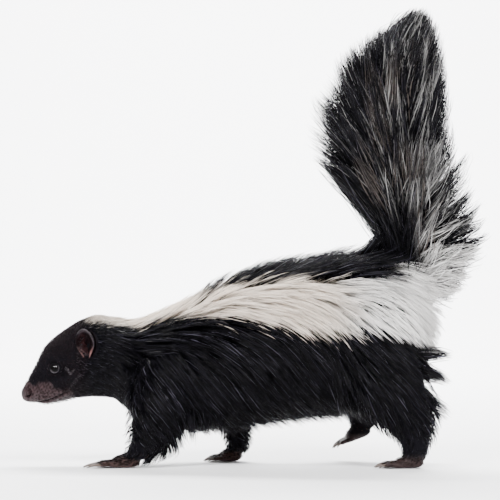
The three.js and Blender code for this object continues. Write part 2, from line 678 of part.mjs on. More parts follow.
// Assembly
const below = solid(new THREE.BoxGeometry(BIG, BIG, BIG).translate(0, 0, -BIG / 2));
const neckToTorso = (shift) => behind(NECK_LOW + shift, 60, NECK_TOP + shift, 146);
const headToNeck = (shift) => behind(NECK_FRONT + shift, 0, NECK_FRONT + shift, 100);
const trunkCore = trunk(1);
const trunkGrown = trunk(1, GAP);
const tailCore = plumeCore();
const limbs = {
  foreleg_left: {
    table: FORELEG_LEFT, paw: FORE_PAW, at: { x: -106, y: -35, side: LEFT },
    coat: [
      { z: 84, from: -2.5, to: -0.6, count: 3, back: 0.75, length: 46, rise: 6, width: 24 },
      { z: 60, from: -2.5, to: 0.5, count: 4, back: 0.7, length: 42, rise: 6, width: 21 },
      { z: 42, from: -1.7, to: 0.8, count: 4, back: 0.8, length: 40, rise: 7, width: 17 },
      { z: 28, from: -1.1, to: 0.6, count: 3, back: 0.85, length: 32, rise: 5, width: 14 },
    ],
  },
  foreleg_right: {
    table: FORELEG_RIGHT, paw: FORE_PAW, at: { x: -12, y: 36, side: RIGHT },
    coat: [
      { z: 84, from: -2.5, to: -0.6, count: 3, back: 0.9, length: 40, rise: 5, width: 24 },
      { z: 52, from: -2.6, to: 0.4, count: 4, back: 0.5, length: 32, rise: 5, width: 18 },
    ],
  },
  hindleg_left: {
    table: HINDLEG_LEFT, paw: HIND_PAW, at: { x: 158, y: -40, side: LEFT },
    coat: [
      { z: 118, from: -2.5, to: -0.7, count: 3, back: 0.4, length: 50, rise: 8, width: 30 },
      { z: 82, from: -2.6, to: 0.2, count: 4, back: 0.42, length: 44, rise: 8, width: 28 },
      { z: 50, from: -2.6, to: 0.6, count: 5, back: 0.55, length: 33, rise: 7, width: 18 },
    ],
  },
  hindleg_right: {
    table: HINDLEG_RIGHT, paw: HIND_PAW, at: { x: 116, y: 40, z: 27, side: RIGHT, drop: 18 },
    coat: [
      { z: 118, from: -2.5, to: -0.7, count: 3, back: 0.4, length: 50, rise: 8, width: 30 },
      { z: 80, from: -2.6, to: 0, count: 4, back: 0.3, length: 40, rise: 7, width: 27 },
    ],
  },
};
for (const limb of Object.values(limbs)) limb.core = leg(limb.table);

const cores = [trunkCore, tailCore, ...Object.values(limbs).map((limb) => limb.core)];
const overCores = surface(wasm.Manifold.union(cores));
const torsoSet = trunkLocks(TORSO_COAT, overCores);
const torsoWith = (grow) =>
  wasm.Manifold.union([grow ? trunkGrown : trunkCore, ...built(torsoSet, grow)]);
const torso = largest(torsoWith(0).intersect(neckToTorso(GAP / 2)));
const torsoGrown = torsoWith(GAP).intersect(neckToTorso(-GAP / 2));

const overTorso = surface(torso.add(trunkCore));
const neckSet = trunkLocks(NECK_COAT, overTorso);
const neck = wasm.Manifold.union([trunkCore.subtract(neckToTorso(-GAP / 2)), ...built(neckSet, 0)])
  .intersect(headToNeck(GAP / 2)).subtract(torsoGrown);

const tailSet = plumeLocks(overTorso);
const tail = wasm.Manifold.union([tailCore, ...built(tailSet, 0)]).subtract(torsoGrown);

const animal = new THREE.Group();
animal.add(node('torso', torso, COAT_BLACK));
animal.add(node('neck', neck, COAT_BLACK));
animal.add(node('tail', tail, COAT_TAIL));

const headGrown = trunk(2, GAP);
let head = trunk(2).subtract(headToNeck(-GAP / 2));
for (const side of [LEFT, RIGHT])
  head = head.add(lids(side)).add(lips(side)).subtract(slit(side)).subtract(eyeball(side, GAP));
head = head.subtract(nose(GAP));
animal.add(node('head', head, COAT_BLACK));
animal.add(node('nose', nose().subtract(nostril(LEFT)).subtract(nostril(RIGHT)), BARE_SKIN));
for (const [label, side] of [['left', LEFT], ['right', RIGHT]]) {
  animal.add(node(`eye_${label}`, eyeball(side), EYE));
  animal.add(node(`ear_${label}`, ear(side).subtract(headGrown), COAT_BLACK));
}

for (const [name, limb] of Object.entries(limbs)) {
  const set = legLocks(limb.table, limb.coat, limb.at.side, surface(limb.core.add(trunkCore)));
  const limbWith = (grow) =>
    wasm.Manifold.union([grow ? leg(limb.table, grow) : limb.core, ...built(set, grow)]);
  animal.add(node(name, limbWith(0).subtract(below).subtract(torsoGrown), COAT_BLACK));
  const foot = placed(paw(limb.paw), limb.at).subtract(limbWith(GAP)).subtract(torsoGrown);
  animal.add(node(name.replace('leg', 'paw'), foot.subtract(below), BARE_SKIN));
}

// The origin is on the ground under the middle of the animal.
const box = new THREE.Box3().setFromObject(animal);
const middle = box.getCenter(new THREE.Vector3());
animal.position.set(-middle.x, -middle.y, -box.min.z);

export default animal;
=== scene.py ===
# A striped skunk, life size, in mid stride: skin, coat, eyes, nose, ears, paws and claws.
import math

import bpy
import numpy as np
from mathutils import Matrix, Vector
from mathutils.bvhtree import BVHTree
from mathutils.kdtree import KDTree


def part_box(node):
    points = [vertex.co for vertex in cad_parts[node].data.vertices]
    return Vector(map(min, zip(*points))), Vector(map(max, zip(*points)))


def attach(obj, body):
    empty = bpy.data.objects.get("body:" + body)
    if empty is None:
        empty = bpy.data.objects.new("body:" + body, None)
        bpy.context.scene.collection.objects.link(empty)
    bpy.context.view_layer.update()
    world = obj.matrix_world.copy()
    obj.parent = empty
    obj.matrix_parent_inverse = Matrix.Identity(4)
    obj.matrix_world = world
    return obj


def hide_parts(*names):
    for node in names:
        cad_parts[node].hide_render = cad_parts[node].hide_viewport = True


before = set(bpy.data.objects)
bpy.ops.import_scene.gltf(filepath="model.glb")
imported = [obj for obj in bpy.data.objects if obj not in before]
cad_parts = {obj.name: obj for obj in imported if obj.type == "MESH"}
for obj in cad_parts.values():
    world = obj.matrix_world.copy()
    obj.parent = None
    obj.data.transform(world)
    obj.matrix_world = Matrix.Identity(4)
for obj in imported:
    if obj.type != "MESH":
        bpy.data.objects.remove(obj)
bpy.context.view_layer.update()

# Sizes are in millimetres, in the solids' own coordinates before they were set down on their origin.
MM = 0.001
EYE_AT = np.array([-187.6, 15.9, 92.0])
EYE_RADIUS = 4.6
EAR_AT = np.array([-156.5, 31.0, 114.5])
NOSE_AT = np.array([-215.6, 0.0, 68.0])
RUMP_FROM, RUMP_SHARE = 135.0, 0.55
ROUNDNESS = 0.92
THINNEST = 0.6
LEFT, RIGHT = -1.0, 1.0


# A smooth curve through values at places, with no overshoot.
def curve(places, values):
    xs, ys = np.asarray(places, float), np.asarray(values, float)
    if xs[0] > xs[-1]:
        xs, ys = xs[::-1], ys[::-1]
    slope = np.diff(ys) / np.diff(xs)
    tangent = np.concatenate([slope[:1], np.zeros(len(xs) - 2), slope[-1:]])
    before, after = slope[:-1], slope[1:]
    turning = before * after > 0
    total = np.where(turning, before + after, 1.0)
    tangent[1:-1] = np.where(turning, 2 * before * after / total, 0.0)

    def at(x):
        x = np.clip(np.asarray(x, float), xs[0], xs[-1])
        i = np.clip(np.searchsorted(xs, x, side="right") - 1, 0, len(xs) - 2)
        span = xs[i + 1] - xs[i]
        s = (x - xs[i]) / span
        rise = (ys[i + 1] - ys[i]) * (3 - 2 * s) * s * s
        return ys[i] + rise + span * (tangent[i] * s * (1 - s) ** 2 - tangent[i + 1] * s * s * (1 - s))

    return at


# A table of sections: its first column gives the places, and every other becomes a curve along them.
def sections(names, rows):
    names = names.split()
    columns = list(zip(*rows))
    found = {name: curve(columns[0], column) for name, column in zip(names[1:], columns[1:])}
    found["places"] = np.array(columns[0], float)
    return found


# Upright sections of head, neck and torso: back, belly, half the width, how far up it is widest, and
# the depth of the coat.
TRUNK = sections("x top low half wide coat", [
    (-221, 68, 65, 2, 0.5, 0),
    (-219.5, 73, 62, 5.5, 0.45, 0),
    (-215, 80, 60, 8.5, 0.42, 0),
    (-206, 96, 59.5, 11.5, 0.34, 0),
    (-199, 110, 58.5, 14, 0.36, 0),
    (-190, 119, 59.5, 18, 0.42, 0),
    (-178, 127.5, 62, 24, 0.48, 0),
    (-165, 135, 66, 29.5, 0.5, 0),
    (-150, 139.5, 67.5, 32, 0.52, 0),
    (-132, 138.5, 65, 33, 0.5, 1),
    (-117, 140, 50, 38, 0.46, 6),
    (-97, 146.5, 36, 47, 0.45, 10),
    (-60, 160, 33, 54, 0.45, 13),
    (-17, 182.5, 38, 58, 0.45, 15),
    (28, 195, 44, 61, 0.45, 16),
    (74, 201.5, 49, 63, 0.47, 17),
    (108, 208, 53, 62, 0.5, 18),
    (135, 208, 64, 54, 0.52, 18),
    (156, 192, 78, 40, 0.52, 18),
    (169, 172, 95, 26, 0.52, 14),
    (176, 150, 115, 12, 0.5, 8),
])

# Level sections of the legs: middle and half size along the body, middle and half size across.
LEGS = {
    "foreleg_left": sections("z x rx y ry", [
        (116, -78, 18, -24, 10), (96, -84, 26, -30, 18), (66, -92, 24, -35, 16),
        (44, -96, 20, -37, 14), (25, -101, 14.5, -37, 11), (14, -107, 12.5, -36, 9.5),
        (4, -112, 9, -35, 7),
    ]),
    "foreleg_right": sections("z x rx y ry", [
        (116, -68, 18, 24, 10), (96, -62, 27, 30, 18), (66, -44, 21, 35, 16),
        (44, -26, 15, 37, 13), (26, -18, 9.5, 37, 9.5), (14, -16, 9, 36, 9), (4, -20, 7, 36, 7),
    ]),
    "hindleg_left": sections("z x rx y ry", [
        (172, 104, 24, -24, 12), (140, 110, 36, -33, 22), (100, 117, 39, -39, 20),
        (70, 127, 36, -42, 17), (45, 139, 27, -42, 14), (30, 147, 18, -42, 11.5),
        (20, 150, 13, -41, 10), (12, 149, 11.5, -40, 9), (4, 147, 9, -40, 7),
    ]),
    "hindleg_right": sections("z x rx y ry", [
        (172, 104, 24, 24, 12), (140, 108, 36, 33, 22), (100, 104, 38, 39, 20),
        (70, 102, 30, 41, 17), (50, 106, 20, 42, 13), (38, 106, 13, 41, 10),
        (25, 101, 8.5, 40, 7.5),
    ]),
}

# Level sections of the tail's plume: front and back edge, half the width, and where the dock passes.
PLUME = sections("z front back half dock", [
    (150, 150, 186, 14, 160), (164, 146, 197, 18, 157), (178, 140, 206, 22, 152),
    (190, 134, 214, 28, 146), (209, 126, 222, 36, 140),
    (228, 120, 217, 44, 138), (247, 105, 214, 52, 137), (266, 83, 209, 58, 135),
    (304, 60, 193, 62, 131), (342, 62, 179, 56, 129), (380, 79, 178, 44, 136),
    (402, 98, 177, 33, 146), (420, 130, 174, 18, 156), (431, 152, 167, 6, 160),
])

# From those coordinates to the frame's, found from the middle of an eye
eye_low, eye_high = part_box("eye_right")
SHIFT = np.array((eye_low + eye_high) / 2) / MM - EYE_AT


def as_points(x, y, z):
    return np.stack(np.broadcast_arrays(x, y, z), axis=-1)


# Angles evenly round a full turn, as a row.
def full_turn(sides):
    return np.linspace(0, 2 * np.pi, sides, endpoint=False)[None, :]


# Random numbers that are the same on every run.
def dice(seed):
    return np.random.default_rng(seed)


def mix(a, b, t):
    return a + (b - a) * t


def eased(low, high, v):
    t = np.clip((v - low) / (high - low), 0, 1)
    return t * t * (3 - 2 * t)


def bell(v, middle, width):
    return np.exp(-((v - middle) / width) ** 2)


def unit(v):
    return v / np.maximum(np.linalg.norm(v, axis=-1, keepdims=True), 1e-9)


def squarish(v, power):
    return np.sign(v) * np.abs(v) ** power


# Points of the trunk under its coat, turned round each section from the right side over the back, and
# as much deeper as under says.
def trunk_points(x, turn, under):
    inset = TRUNK["coat"](x) + under
    top, low = TRUNK["top"](x), TRUNK["low"](x)
    middle = low + (top - low) * TRUNK["wide"](x)
    up = squarish(np.sin(turn), ROUNDNESS)
    reach = np.where(up > 0, top - middle, middle - low)
    behind = np.maximum(0, x - RUMP_FROM) * RUMP_SHARE
    half = np.maximum(TRUNK["half"](x) - inset, THINNEST)
    return as_points(
        np.minimum(x, RUMP_FROM) + behind,
        squarish(np.cos(turn), ROUNDNESS) * half,
        middle + up * np.maximum(reach - inset, THINNEST),
    )


# Points of the tail at height z, turned round it from the back. share runs from the dock to the
# plume's outline.
def plume_points(z, turn, share):
    front, back, dock = PLUME["front"](z), PLUME["back"](z), PLUME["dock"](z)
    edge = (front + back) / 2 + np.cos(turn) * (back - front) / 2
    return as_points(dock + (edge - dock) * share, np.sin(turn) * PLUME["half"](z) * share, z)


# A closed shell over rings of points, with a fan over each end: its points and its faces.
def shell(rings):
    count, sides = rings.shape[:2]
    points = np.concatenate([rings.reshape(-1, 3), rings[:1].mean(axis=1), rings[-1:].mean(axis=1)])
    k = np.arange(sides)
    after = (k + 1) % sides
    first = (np.arange(count - 1) * sides)[:, None]
    walls = np.stack([first + k, first + after, first + after + sides, first + k + sides], axis=-1)
    faces = walls.reshape(-1, 4).tolist()
    last = (count - 1) * sides
    faces += [[count * sides, b, a] for a, b in zip(k.tolist(), after.tolist())]
    faces += [[count * sides + 1, last + a, last + b] for a, b in zip(k.tolist(), after.tolist())]
    return points, faces


def new_object(name, data):
    made = bpy.data.objects.new(name, data)
    bpy.context.scene.collection.objects.link(made)
    return made


def mesh_piece(name, points, faces):
    mesh = bpy.data.meshes.new(name)
    mesh.from_pydata(((points + SHIFT) * MM).tolist(), [], faces)
    mesh.validate()
    piece = new_object(name, mesh)
    bpy.context.view_layer.objects.active = piece
    piece.select_set(True)
    bpy.ops.object.mode_set(mode="EDIT")
    bpy.ops.mesh.select_all(action="SELECT")
    bpy.ops.mesh.normals_make_consistent(inside=False)
    bpy.ops.object.mode_set(mode="OBJECT")
    piece.select_set(False)
    mesh.shade_smooth()
    return piece


# Several shells as one mesh: points and faces together.
def together(shells):
    points, faces, start = [], [], 0
    for some_points, some_faces in shells:
        points.append(some_points)
        faces += [[i + start for i in face] for face in some_faces]
        start += len(some_points)
    return np.concatenate(points), faces


# The skin

HEAD_RINGS = np.concatenate([np.linspace(-221, -170, 112), np.linspace(-169, -138, 28)])
BODY_RINGS = np.linspace(-136, 176, 70)
TRUNK_SIDES = 160
MOUTH_LINE = curve([-205, -196, -190, -184, -174.5], [59.8, 61.6, 63.6, 66.2, 70.2])


# How far places seen from the side are from the eye's middle, and from the ear's, in half ears.
def from_eye(x, z):
    return np.hypot(x - EYE_AT[0], z - EYE_AT[2])


def from_ear(x, z, half_x, half_z):
    return np.hypot((x - EAR_AT[0]) / half_x, (z - EAR_AT[2]) / half_z)


def hill(x, z, at, size, high):
    return high * np.exp(-((x - at[0]) / size[0]) ** 2 - ((z - at[1]) / size[1]) ** 2)


# How near points seen from the side are to a line, from 1 on it down to 0.
def near_line(x, z, start, end, width):
    (x0, z0), (x1, z1) = start, end
    t = np.clip(((x - x0) * (x1 - x0) + (z - z0) * (z1 - z0)) / ((x1 - x0) ** 2 + (z1 - z0) ** 2), 0, 1)
    away = np.hypot(x - x0 - t * (x1 - x0), z - z0 - t * (z1 - z0))
    return bell(away, 0, width)


# A nostril is a curled slit on each side of the nose, open to the front below.
NOSTRIL = [(-213.4, 72.4), (-211.4, 70.9), (-211.0, 68.2), (-212.6, 65.6), (-214.6, 65.2)]


def nostril_depth(x, z):
    parts = [near_line(x, z, a, b, 0.95) for a, b in zip(NOSTRIL, NOSTRIL[1:])]
    return np.max(parts, axis=0)


def along_mouth(x):
    return eased(-206, -203, x) * eased(-172.5, -176, x)


# How far the head's skin stands out of its plain form, seen from the side at x and z: eye socket,
# brow, cheek, whisker pad, lips, nostril and the pit under the ear.
def head_relief(x, z, sideways):
    eye = from_eye(x, z)
    relief = -1.3 * bell(eye, 7.2, 2.6) - 2.2 * eased(7.6, 4.8, eye)
    relief += hill(x, z, (-184.5, 100.5), (7, 3.2), 1.0)
    relief += hill(x, z, (-171, 82), (8, 5.5), 1.5) + hill(x, z, (-175, 91), (3.2, 2.0), 0.9)
    relief += hill(x, z, (-177, 76), (6, 3.5), -0.9) + hill(x, z, (-198, 84), (6, 4), -0.7)
    pad = hill(x, z, (-200.5, 70), (8.5, 7), 1.0)
    grain = np.sin(2.9 * x + 1.1 * z) * np.sin(2.7 * z - 1.3 * x) + 0.6 * np.sin(4.3 * x + 2 * z)
    relief += pad * (0.9 + 0.34 * grain)
    above = z - MOUTH_LINE(x)
    relief += along_mouth(x) * (-1.7 * bell(above, 0, 0.75) + 0.8 * bell(above, 2, 1.2)
                                + 0.55 * bell(above, 4.4, 0.9) * eased(-194, -188, x)
                                + 0.9 * bell(above, -1.9, 1.3))
    relief += hill(x, z, (-213.5, 69), (4, 5.5), 0.8) - 2.6 * nostril_depth(x, z)
    relief += -6.5 * eased(1.05, 0.7, from_ear(x, z, 8.2, 12.5))
    return relief * sideways


def trunk_shell():
    x = np.concatenate([HEAD_RINGS, BODY_RINGS])[:, None]
    rings = trunk_points(x, full_turn(TRUNK_SIDES), mix(-0.5, 0.8, eased(-150, -125, x)))
    round_it = np.roll(rings, -1, axis=1) - np.roll(rings, 1, axis=1)
    normals = unit(np.cross(round_it, np.gradient(rings, axis=0)))
    sideways = eased(0.12, 0.5, np.abs(normals[..., 1])) * eased(-138, -146, x)
    return shell(rings + normals * head_relief(rings[..., 0], rings[..., 2], sideways)[..., None])


def leg_shell(table):
    low = table["places"].min()
    z = np.linspace(table["places"].max(), max(low, 8), 40)[:, None]
    turn = full_turn(32)
    under = mix(0.6, 2.5, eased(14, 44, z - low))
    return shell(as_points(
        table["x"](z) + np.cos(turn) * (table["rx"](z) - under),
        table["y"](z) + np.sin(turn) * (table["ry"](z) - under),
        z,
    ))


def tail_shell():
    z = np.linspace(152, 392, 60)[:, None]
    over = np.clip((z - 320) / 76, 0, 1)
    return shell(plume_points(z, full_turn(32), 0.26 * np.sqrt(1 - over * over * 0.9)))


# Paws: toes towards -X, the sole on the ground and the heel near x = 0
PAWS = {
    "forepaw_left": dict(at=(-106, -35, 0), side=LEFT, drop=0, kind="fore"),
    "forepaw_right": dict(at=(-12, 36, 0), side=RIGHT, drop=0, kind="far_fore"),
    "hindpaw_left": dict(at=(158, -40, 0), side=LEFT, drop=0, kind="hind"),
    "hindpaw_right": dict(at=(115, 40, 26), side=RIGHT, drop=20, kind="far_hind"),
}
PAW_SIZES = {
    "fore": dict(length=40, width=21, height=15, toe=13, claw=14, spread=0.5),
    "far_fore": dict(length=32, width=20, height=15, toe=9, claw=7, spread=0.5),
    "hind": dict(length=42, width=20, height=14, toe=11, claw=7, spread=0.42),
    "far_hind": dict(length=39, width=20, height=17, toe=9, claw=6, spread=0.42),
}
TOES = 5
TURNED_OUT = 4


# Points of a paw placed as its foot stands.
def placed(points, paw):
    drop, out = math.radians(paw["drop"]), math.radians(paw["side"] * TURNED_OUT)
    x = points[..., 0] * math.cos(drop) - points[..., 2] * math.sin(drop)
    z = points[..., 0] * math.sin(drop) + points[..., 2] * math.cos(drop)
    y = points[..., 1]
    turned = as_points(x * math.cos(out) - y * math.sin(out), x * math.sin(out) + y * math.cos(out), z)
    return turned + np.array(paw["at"], float)


# A rod along points, with a radius at each. tall is its height over its width.
def rod(path, radii, sides, tall):
    ahead = unit(np.gradient(path, axis=0))
    across = unit(np.cross([0, 0, 1.0], ahead))
    up = np.cross(ahead, across)
    turn = full_turn(sides)[..., None]
    ring = across[:, None] * np.cos(turn) + up[:, None] * np.sin(turn) * tall
    return shell(path[:, None] + ring * radii[:, None, None])


# Where a toe starts, which way it points and how far it runs.
def toe_line(size, number):
    side = number - TOES // 2
    turn = side * size["spread"] * 0.22
    start = np.array([-size["length"] * 0.5, side * size["width"] * 0.185, 0])
    ahead = np.array([-math.cos(turn), math.sin(turn), 0])
    run = size["length"] * 0.22 + size["toe"] * (1 - 0.09 * side * side)
    return start, ahead, run


# A rod along every toe's line. along gives its places on a line of a given length.
def toe_rods(paw, along, high, radii, sides, tall):
    made = []
    for number in range(TOES):
        start, ahead, run = toe_line(PAW_SIZES[paw["kind"]], number)
        path = start + ahead * along(run)[:, None]
        path[:, 2] = high
        points, faces = rod(path, radii, sides, tall)
        made.append((placed(points, paw), faces))
    return made


# A palm with a round heel, and toes with soft ends.
def paw_shells(paw):
    size = PAW_SIZES[paw["kind"]]
    s = np.linspace(0, 1, 24)[:, None]
    turn = full_turn(24)
    end = np.sqrt(np.maximum(0.03, 1 - (2 * np.abs(s - 0.5)) ** 4))
    half = size["width"] / 2 * end * (0.74 + 0.26 * s)
    high = size["height"] * end * (1 - 0.42 * s)
    palm = as_points(
        -size["length"] * 0.72 * s,
        np.cos(turn) * half,
        np.maximum(high * (0.42 + 0.58 * np.sin(turn)), 0.6 + 5 * np.exp(-s / 0.07)),
    )
    thick = size["width"] * 0.13
    s = np.linspace(0, 1, 12)
    bulb = 1 + 0.16 * bell(s, 0.82, 0.12) - 0.1 * bell(s, 0.6, 0.1)
    radii = thick * bulb * np.sqrt(np.clip(1.04 - s ** 6, 0.1, 1))
    high = thick * (1.1 + 0.35 * np.sin(s * np.pi))
    return [shell(placed(palm, paw))] + toe_rods(paw, lambda run: s * run, high, radii, 12, 0.92)


# Claws start inside the toes, arch over and come down to a point.
def claw_shells(paw):
    s = np.linspace(0, 1, 9)
    length = PAW_SIZES[paw["kind"]]["claw"] + 1
    high = mix(3.1, 0.7, s ** 2) + 0.5 * np.sin(s * np.pi)
    return toe_rods(paw, lambda run: run - 3 + s * length, high, 1.45 * (1 - 0.82 * s ** 1.3), 8, 1.15)


# An ear: a bowl with folds in it, inside a rim that stands up behind and above and is low in front. It
# narrows to a notch below. Each point also has a place: 0 in the bowl's middle, 1 at the rim, 2 behind.
EAR_HALF = (8.6, 13.6)


def ear_rings(side):
    place = np.concatenate([np.linspace(0.03, 0.94, 30), np.linspace(0.97, 1.1, 7), np.linspace(1.2, 2, 6)])
    place = place[:, None]
    turn = full_turn(88)
    across, up = np.cos(turn), np.sin(turn)
    round_rim = np.clip(place, 0, 1) + np.clip(place - 1, 0, 0.1) * 0.9 - np.clip(place - 1.1, 0, 1) * 0.16
    narrow = 1 - 0.42 * eased(0.1, -1.0, up)
    x = across * EAR_HALF[0] * round_rim * narrow - 0.17 * up * EAR_HALF[0] - 0.9
    z = up * EAR_HALF[1] * round_rim
    stand = 2.4 + 3.4 * eased(-0.7, 0.7, across * 0.8 + up * 0.6) - 1.4 * eased(-0.75, -1.0, up)
    bowl = stand * place ** 2.6 - 4.6 * (1 - place ** 2)
    lip = stand + 0.5 * np.sin(np.clip((place - 0.94) / 0.16, 0, 1) * np.pi)
    behind = stand - (place - 1.1) * (stand + 4) / 0.9
    out = np.where(place < 0.95, bowl, np.where(place < 1.1, lip, behind))
    ridge = 1.9 * bell(x + 2.6 - 0.25 * z, 0, 1.5) * eased(-3, 1, z) * eased(10, 6, z)
    knob = hill(x, z, (-3.4, 2.6), (1.8, 2.2), 2.6) + hill(x, z, (-4.6, -5.5), (1.3, 3.4), 1.8)
    lobe = hill(x, z, (3.6, -7.5), (1.9, 3.2), 2.6)
    fine = 0.25 * np.sin(x * 2.1 + z) * np.sin(z * 1.7 - x)
    out = out + np.where(place < 0.9, (ridge + knob + lobe + fine) * eased(0.95, 0.7, place), 0)
    lean = math.radians(10)
    return as_points(
        EAR_AT[0] + x * math.cos(lean) - out * math.sin(lean),
        side * (EAR_AT[1] - 2.2 + x * math.sin(lean) + out * math.cos(lean)),
        EAR_AT[2] + z,
    ), np.broadcast_arrays(place, turn)


# Lids: a rim round an eye's opening that wraps the eyeball and sinks into the skin
LID_THICK = 0.85
EYE_OPENING = 38.0


def lid_shell(side):
    axis = unit(np.array([-0.22, side, 0.1]))
    back = unit(np.cross(axis, [0, 0, 1.0]) * side)
    up = np.cross(back, axis) * side
    turn = full_turn(64)
    across, high = np.cos(turn), np.sin(turn)
    s = np.linspace(0, 1, 18)[:, None]
    corner = 9 * np.exp(-(across + 1) / 0.12) + 5 * bell(across, 1, 0.12)
    first = EYE_OPENING + corner - 4 * np.abs(high) * (high > 0)
    angle = np.radians(mix(first, 92, s))
    swell = np.interp(s, [0, 0.1, 0.3, 0.55, 1], [-0.15, 0.75, 1.0, 0.8, -1.2]) * LID_THICK
    fold = 0.14 * np.sin(s * 22) * eased(0.2, 0.5, s) * eased(0.95, 0.6, s)
    far = EYE_RADIUS + swell + fold
    ring = np.cos(angle)[..., None] * axis
    ring = ring + np.sin(angle)[..., None] * (across[..., None] * back + high[..., None] * up)
    return shell(EYE_AT * [1, side, 1] + ring * far[..., None])


LIMB_GRAIN, LIMB_SMOOTHING = 1.2, 2


# Shells that overlap, blended into one soft form.
def blended(name, shells):
    piece = mesh_piece(name, *together(shells))
    remesh = piece.modifiers.new("blend", "REMESH")
    remesh.mode = "VOXEL"
    remesh.voxel_size = LIMB_GRAIN * MM
    soften = piece.modifiers.new("soften", "SMOOTH")
    soften.iterations = LIMB_SMOOTHING
    soften.factor = 0.5
    depsgraph = bpy.context.evaluated_depsgraph_get()
    mesh = bpy.data.meshes.new_from_object(piece.evaluated_get(depsgraph))
    piece.modifiers.clear()
    old = piece.data
    piece.data = mesh
    bpy.data.meshes.remove(old)
    mesh.name = piece.name
    return piece


# Three values for each vertex or triangle of a mesh.
def triples(items, what, kind=float):
    found = np.empty(len(items) * 3, kind)
    items.foreach_get(what, found)
    return found.reshape(-1, 3)


def points_of(piece):
    return triples(piece.data.vertices, "co") / MM - SHIFT


trunk = mesh_piece("trunk_form", *trunk_shell())
limbs = {}
for name, table in LEGS.items():
    paw = PAWS[name.replace("leg", "paw")]
    limbs[name] = blended(name + "_form", [leg_shell(table)] + paw_shells(paw))
tail = mesh_piece("tail_form", *tail_shell())
ears = mesh_piece("ears", *together([shell(ear_rings(side)[0]) for side in (LEFT, RIGHT)]))
lids = mesh_piece("eyelids", *together([lid_shell(side) for side in (LEFT, RIGHT)]))


# The markings

# Edges of the white stripe on a flank, as heights along the body: from the nape it is white over the
# whole back, and behind the shoulders it forks into two stripes.
STRIPE_LOW = curve([-165, -154, -131, -104, -91, -69, -45, -11, 9, 31, 48, 67, 97, 127, 158, 175],
                   [139, 136, 134, 131, 139, 143, 141, 140, 136, 130, 121, 123, 124, 119, 114, 112])
STRIPE_TOP = curve([-75, -60, -45, -29, 1, 47, 87, 109, 131, 150, 170],
                   [190, 161, 163, 171, 175, 178, 178, 175, 171, 183, 205])
FORK = (-66, -52)


# A soft wandering value from -1 to 1 over space, the same on every run.
def rough(points, size, seed):
    pick = dice(seed)
    total = np.zeros(points.shape[:-1])
    for _ in range(5):
        way = unit(pick.normal(size=3))
        total += np.sin(points @ way * (2 * np.pi / size) + pick.uniform(0, 6.3))
    return np.clip(total / 3, -1, 1)


# How white the body's coat is at each point.
def whiteness(points, ragged):
    x, z = points[..., 0], points[..., 2]
    wander = rough(points, 26, 5) * 1.6 + ragged
    over_low = eased(-1.6, 1.6, z - STRIPE_LOW(x) + wander)
    under_top = eased(-1.6, 1.6, STRIPE_TOP(x) - z + wander)
    forked = eased(FORK[0], FORK[1], x + wander * 3)
    body = over_low * mix(1.0, under_top, forked)
    starts = eased(-160, -150, x + wander)
    blaze = bell(points[..., 1], 0, 1.3) * eased(-208, -205, x)
    blaze = blaze * eased(-195, -199, x) * (z > 90)
    return np.clip(body * starts + blaze * 0.4, 0, 1)


# The coat

SKIN_PARTS = [trunk, tail] + list(limbs.values())


# A tree that finds the nearest places on the surfaces of pieces.
def surface_of(pieces):
    points, faces = together([(points_of(p), [list(f.vertices) for f in p.data.polygons]) for p in pieces])
    return BVHTree.FromPolygons(points.tolist(), faces)


surfaces = {piece.name: surface_of([piece]) for piece in SKIN_PARTS}
whole_surface = surface_of(SKIN_PARTS)


# Signed distances of points from a surface, and its normals there.
def nearest(tree, points):
    found = [tree.find_nearest(p) for p in points.tolist()]
    spots = np.array([f[0][:] for f in found])
    normals = np.array([f[1][:] for f in found])
    away = points - spots
    sign = np.where((away * normals).sum(axis=1) >= 0, 1.0, -1.0)
    return np.linalg.norm(away, axis=1) * sign, normals


BURIED = 0.5


# Roots spread over a piece, closer together where its density is larger, and none inside the others.
def scatter(piece, count, density, seed, others):
    pick = dice(seed)
    mesh = piece.data
    mesh.calc_loop_triangles()
    corners = triples(mesh.loop_triangles, "vertices", int)
    points = points_of(piece)
    normals = triples(mesh.vertices, "normal")
    a, b, c = (points[corners[:, i]] for i in range(3))
    flat = np.cross(b - a, c - a)
    area = np.linalg.norm(flat, axis=1) / 2
    weight = area * density((a + b + c) / 3, unit(flat))
    chosen = pick.choice(len(area), count, p=weight / weight.sum())
    u, v = pick.random(count), pick.random(count)
    over = u + v > 1
    u, v = np.where(over, 1 - u, u), np.where(over, 1 - v, v)
    share = np.stack([1 - u - v, u, v], axis=1)[:, :, None]
    roots = (points[corners[chosen]] * share).sum(axis=1)
    facing = unit((normals[corners[chosen]] * share).sum(axis=1))
    keep = np.ones(count, bool)
    for other in others:
        height, _ = nearest(surfaces[other.name], roots)
        keep &= height > -BURIED
    return roots[keep], facing[keep]


COMB_STEPS = 9
ROOT_DEPTH = 1.2
LOWEST_GUIDE, LOWEST_HAIR = 1.6, 1.2
WIDEST = 73.5


# Guides: paths that leave the skin, follow the lie of the coat and rise to its depth. Past the share
# of its length in held, a guide leaves the surface and runs straight on.
def combed(roots, normals, lie, lengths, heights, held):
    path = [roots - normals * ROOT_DEPTH]
    here = roots.copy()
    facing = normals.copy()
    for i in range(1, COMB_STEPS + 1):
        s = i / COMB_STEPS
        free = eased(held, held + 0.6, s) * 0.85
        way = unit(lie(here))
        flat = unit(way - facing * (way * facing).sum(axis=1, keepdims=True))
        here = here + unit(mix(flat, way, free[:, None])) * (lengths / COMB_STEPS)[:, None]
        height, facing = nearest(whole_surface, here)
        wanted = heights * (1 - (1 - s) ** 1.6)
        lift = np.where(height < wanted, wanted - height, (wanted - height) * (1 - free))
        here = here + facing * lift[:, None]
        here[:, 2] = np.maximum(here[:, 2], LOWEST_GUIDE)
        path.append(here.copy())
    return np.stack(path, axis=1)


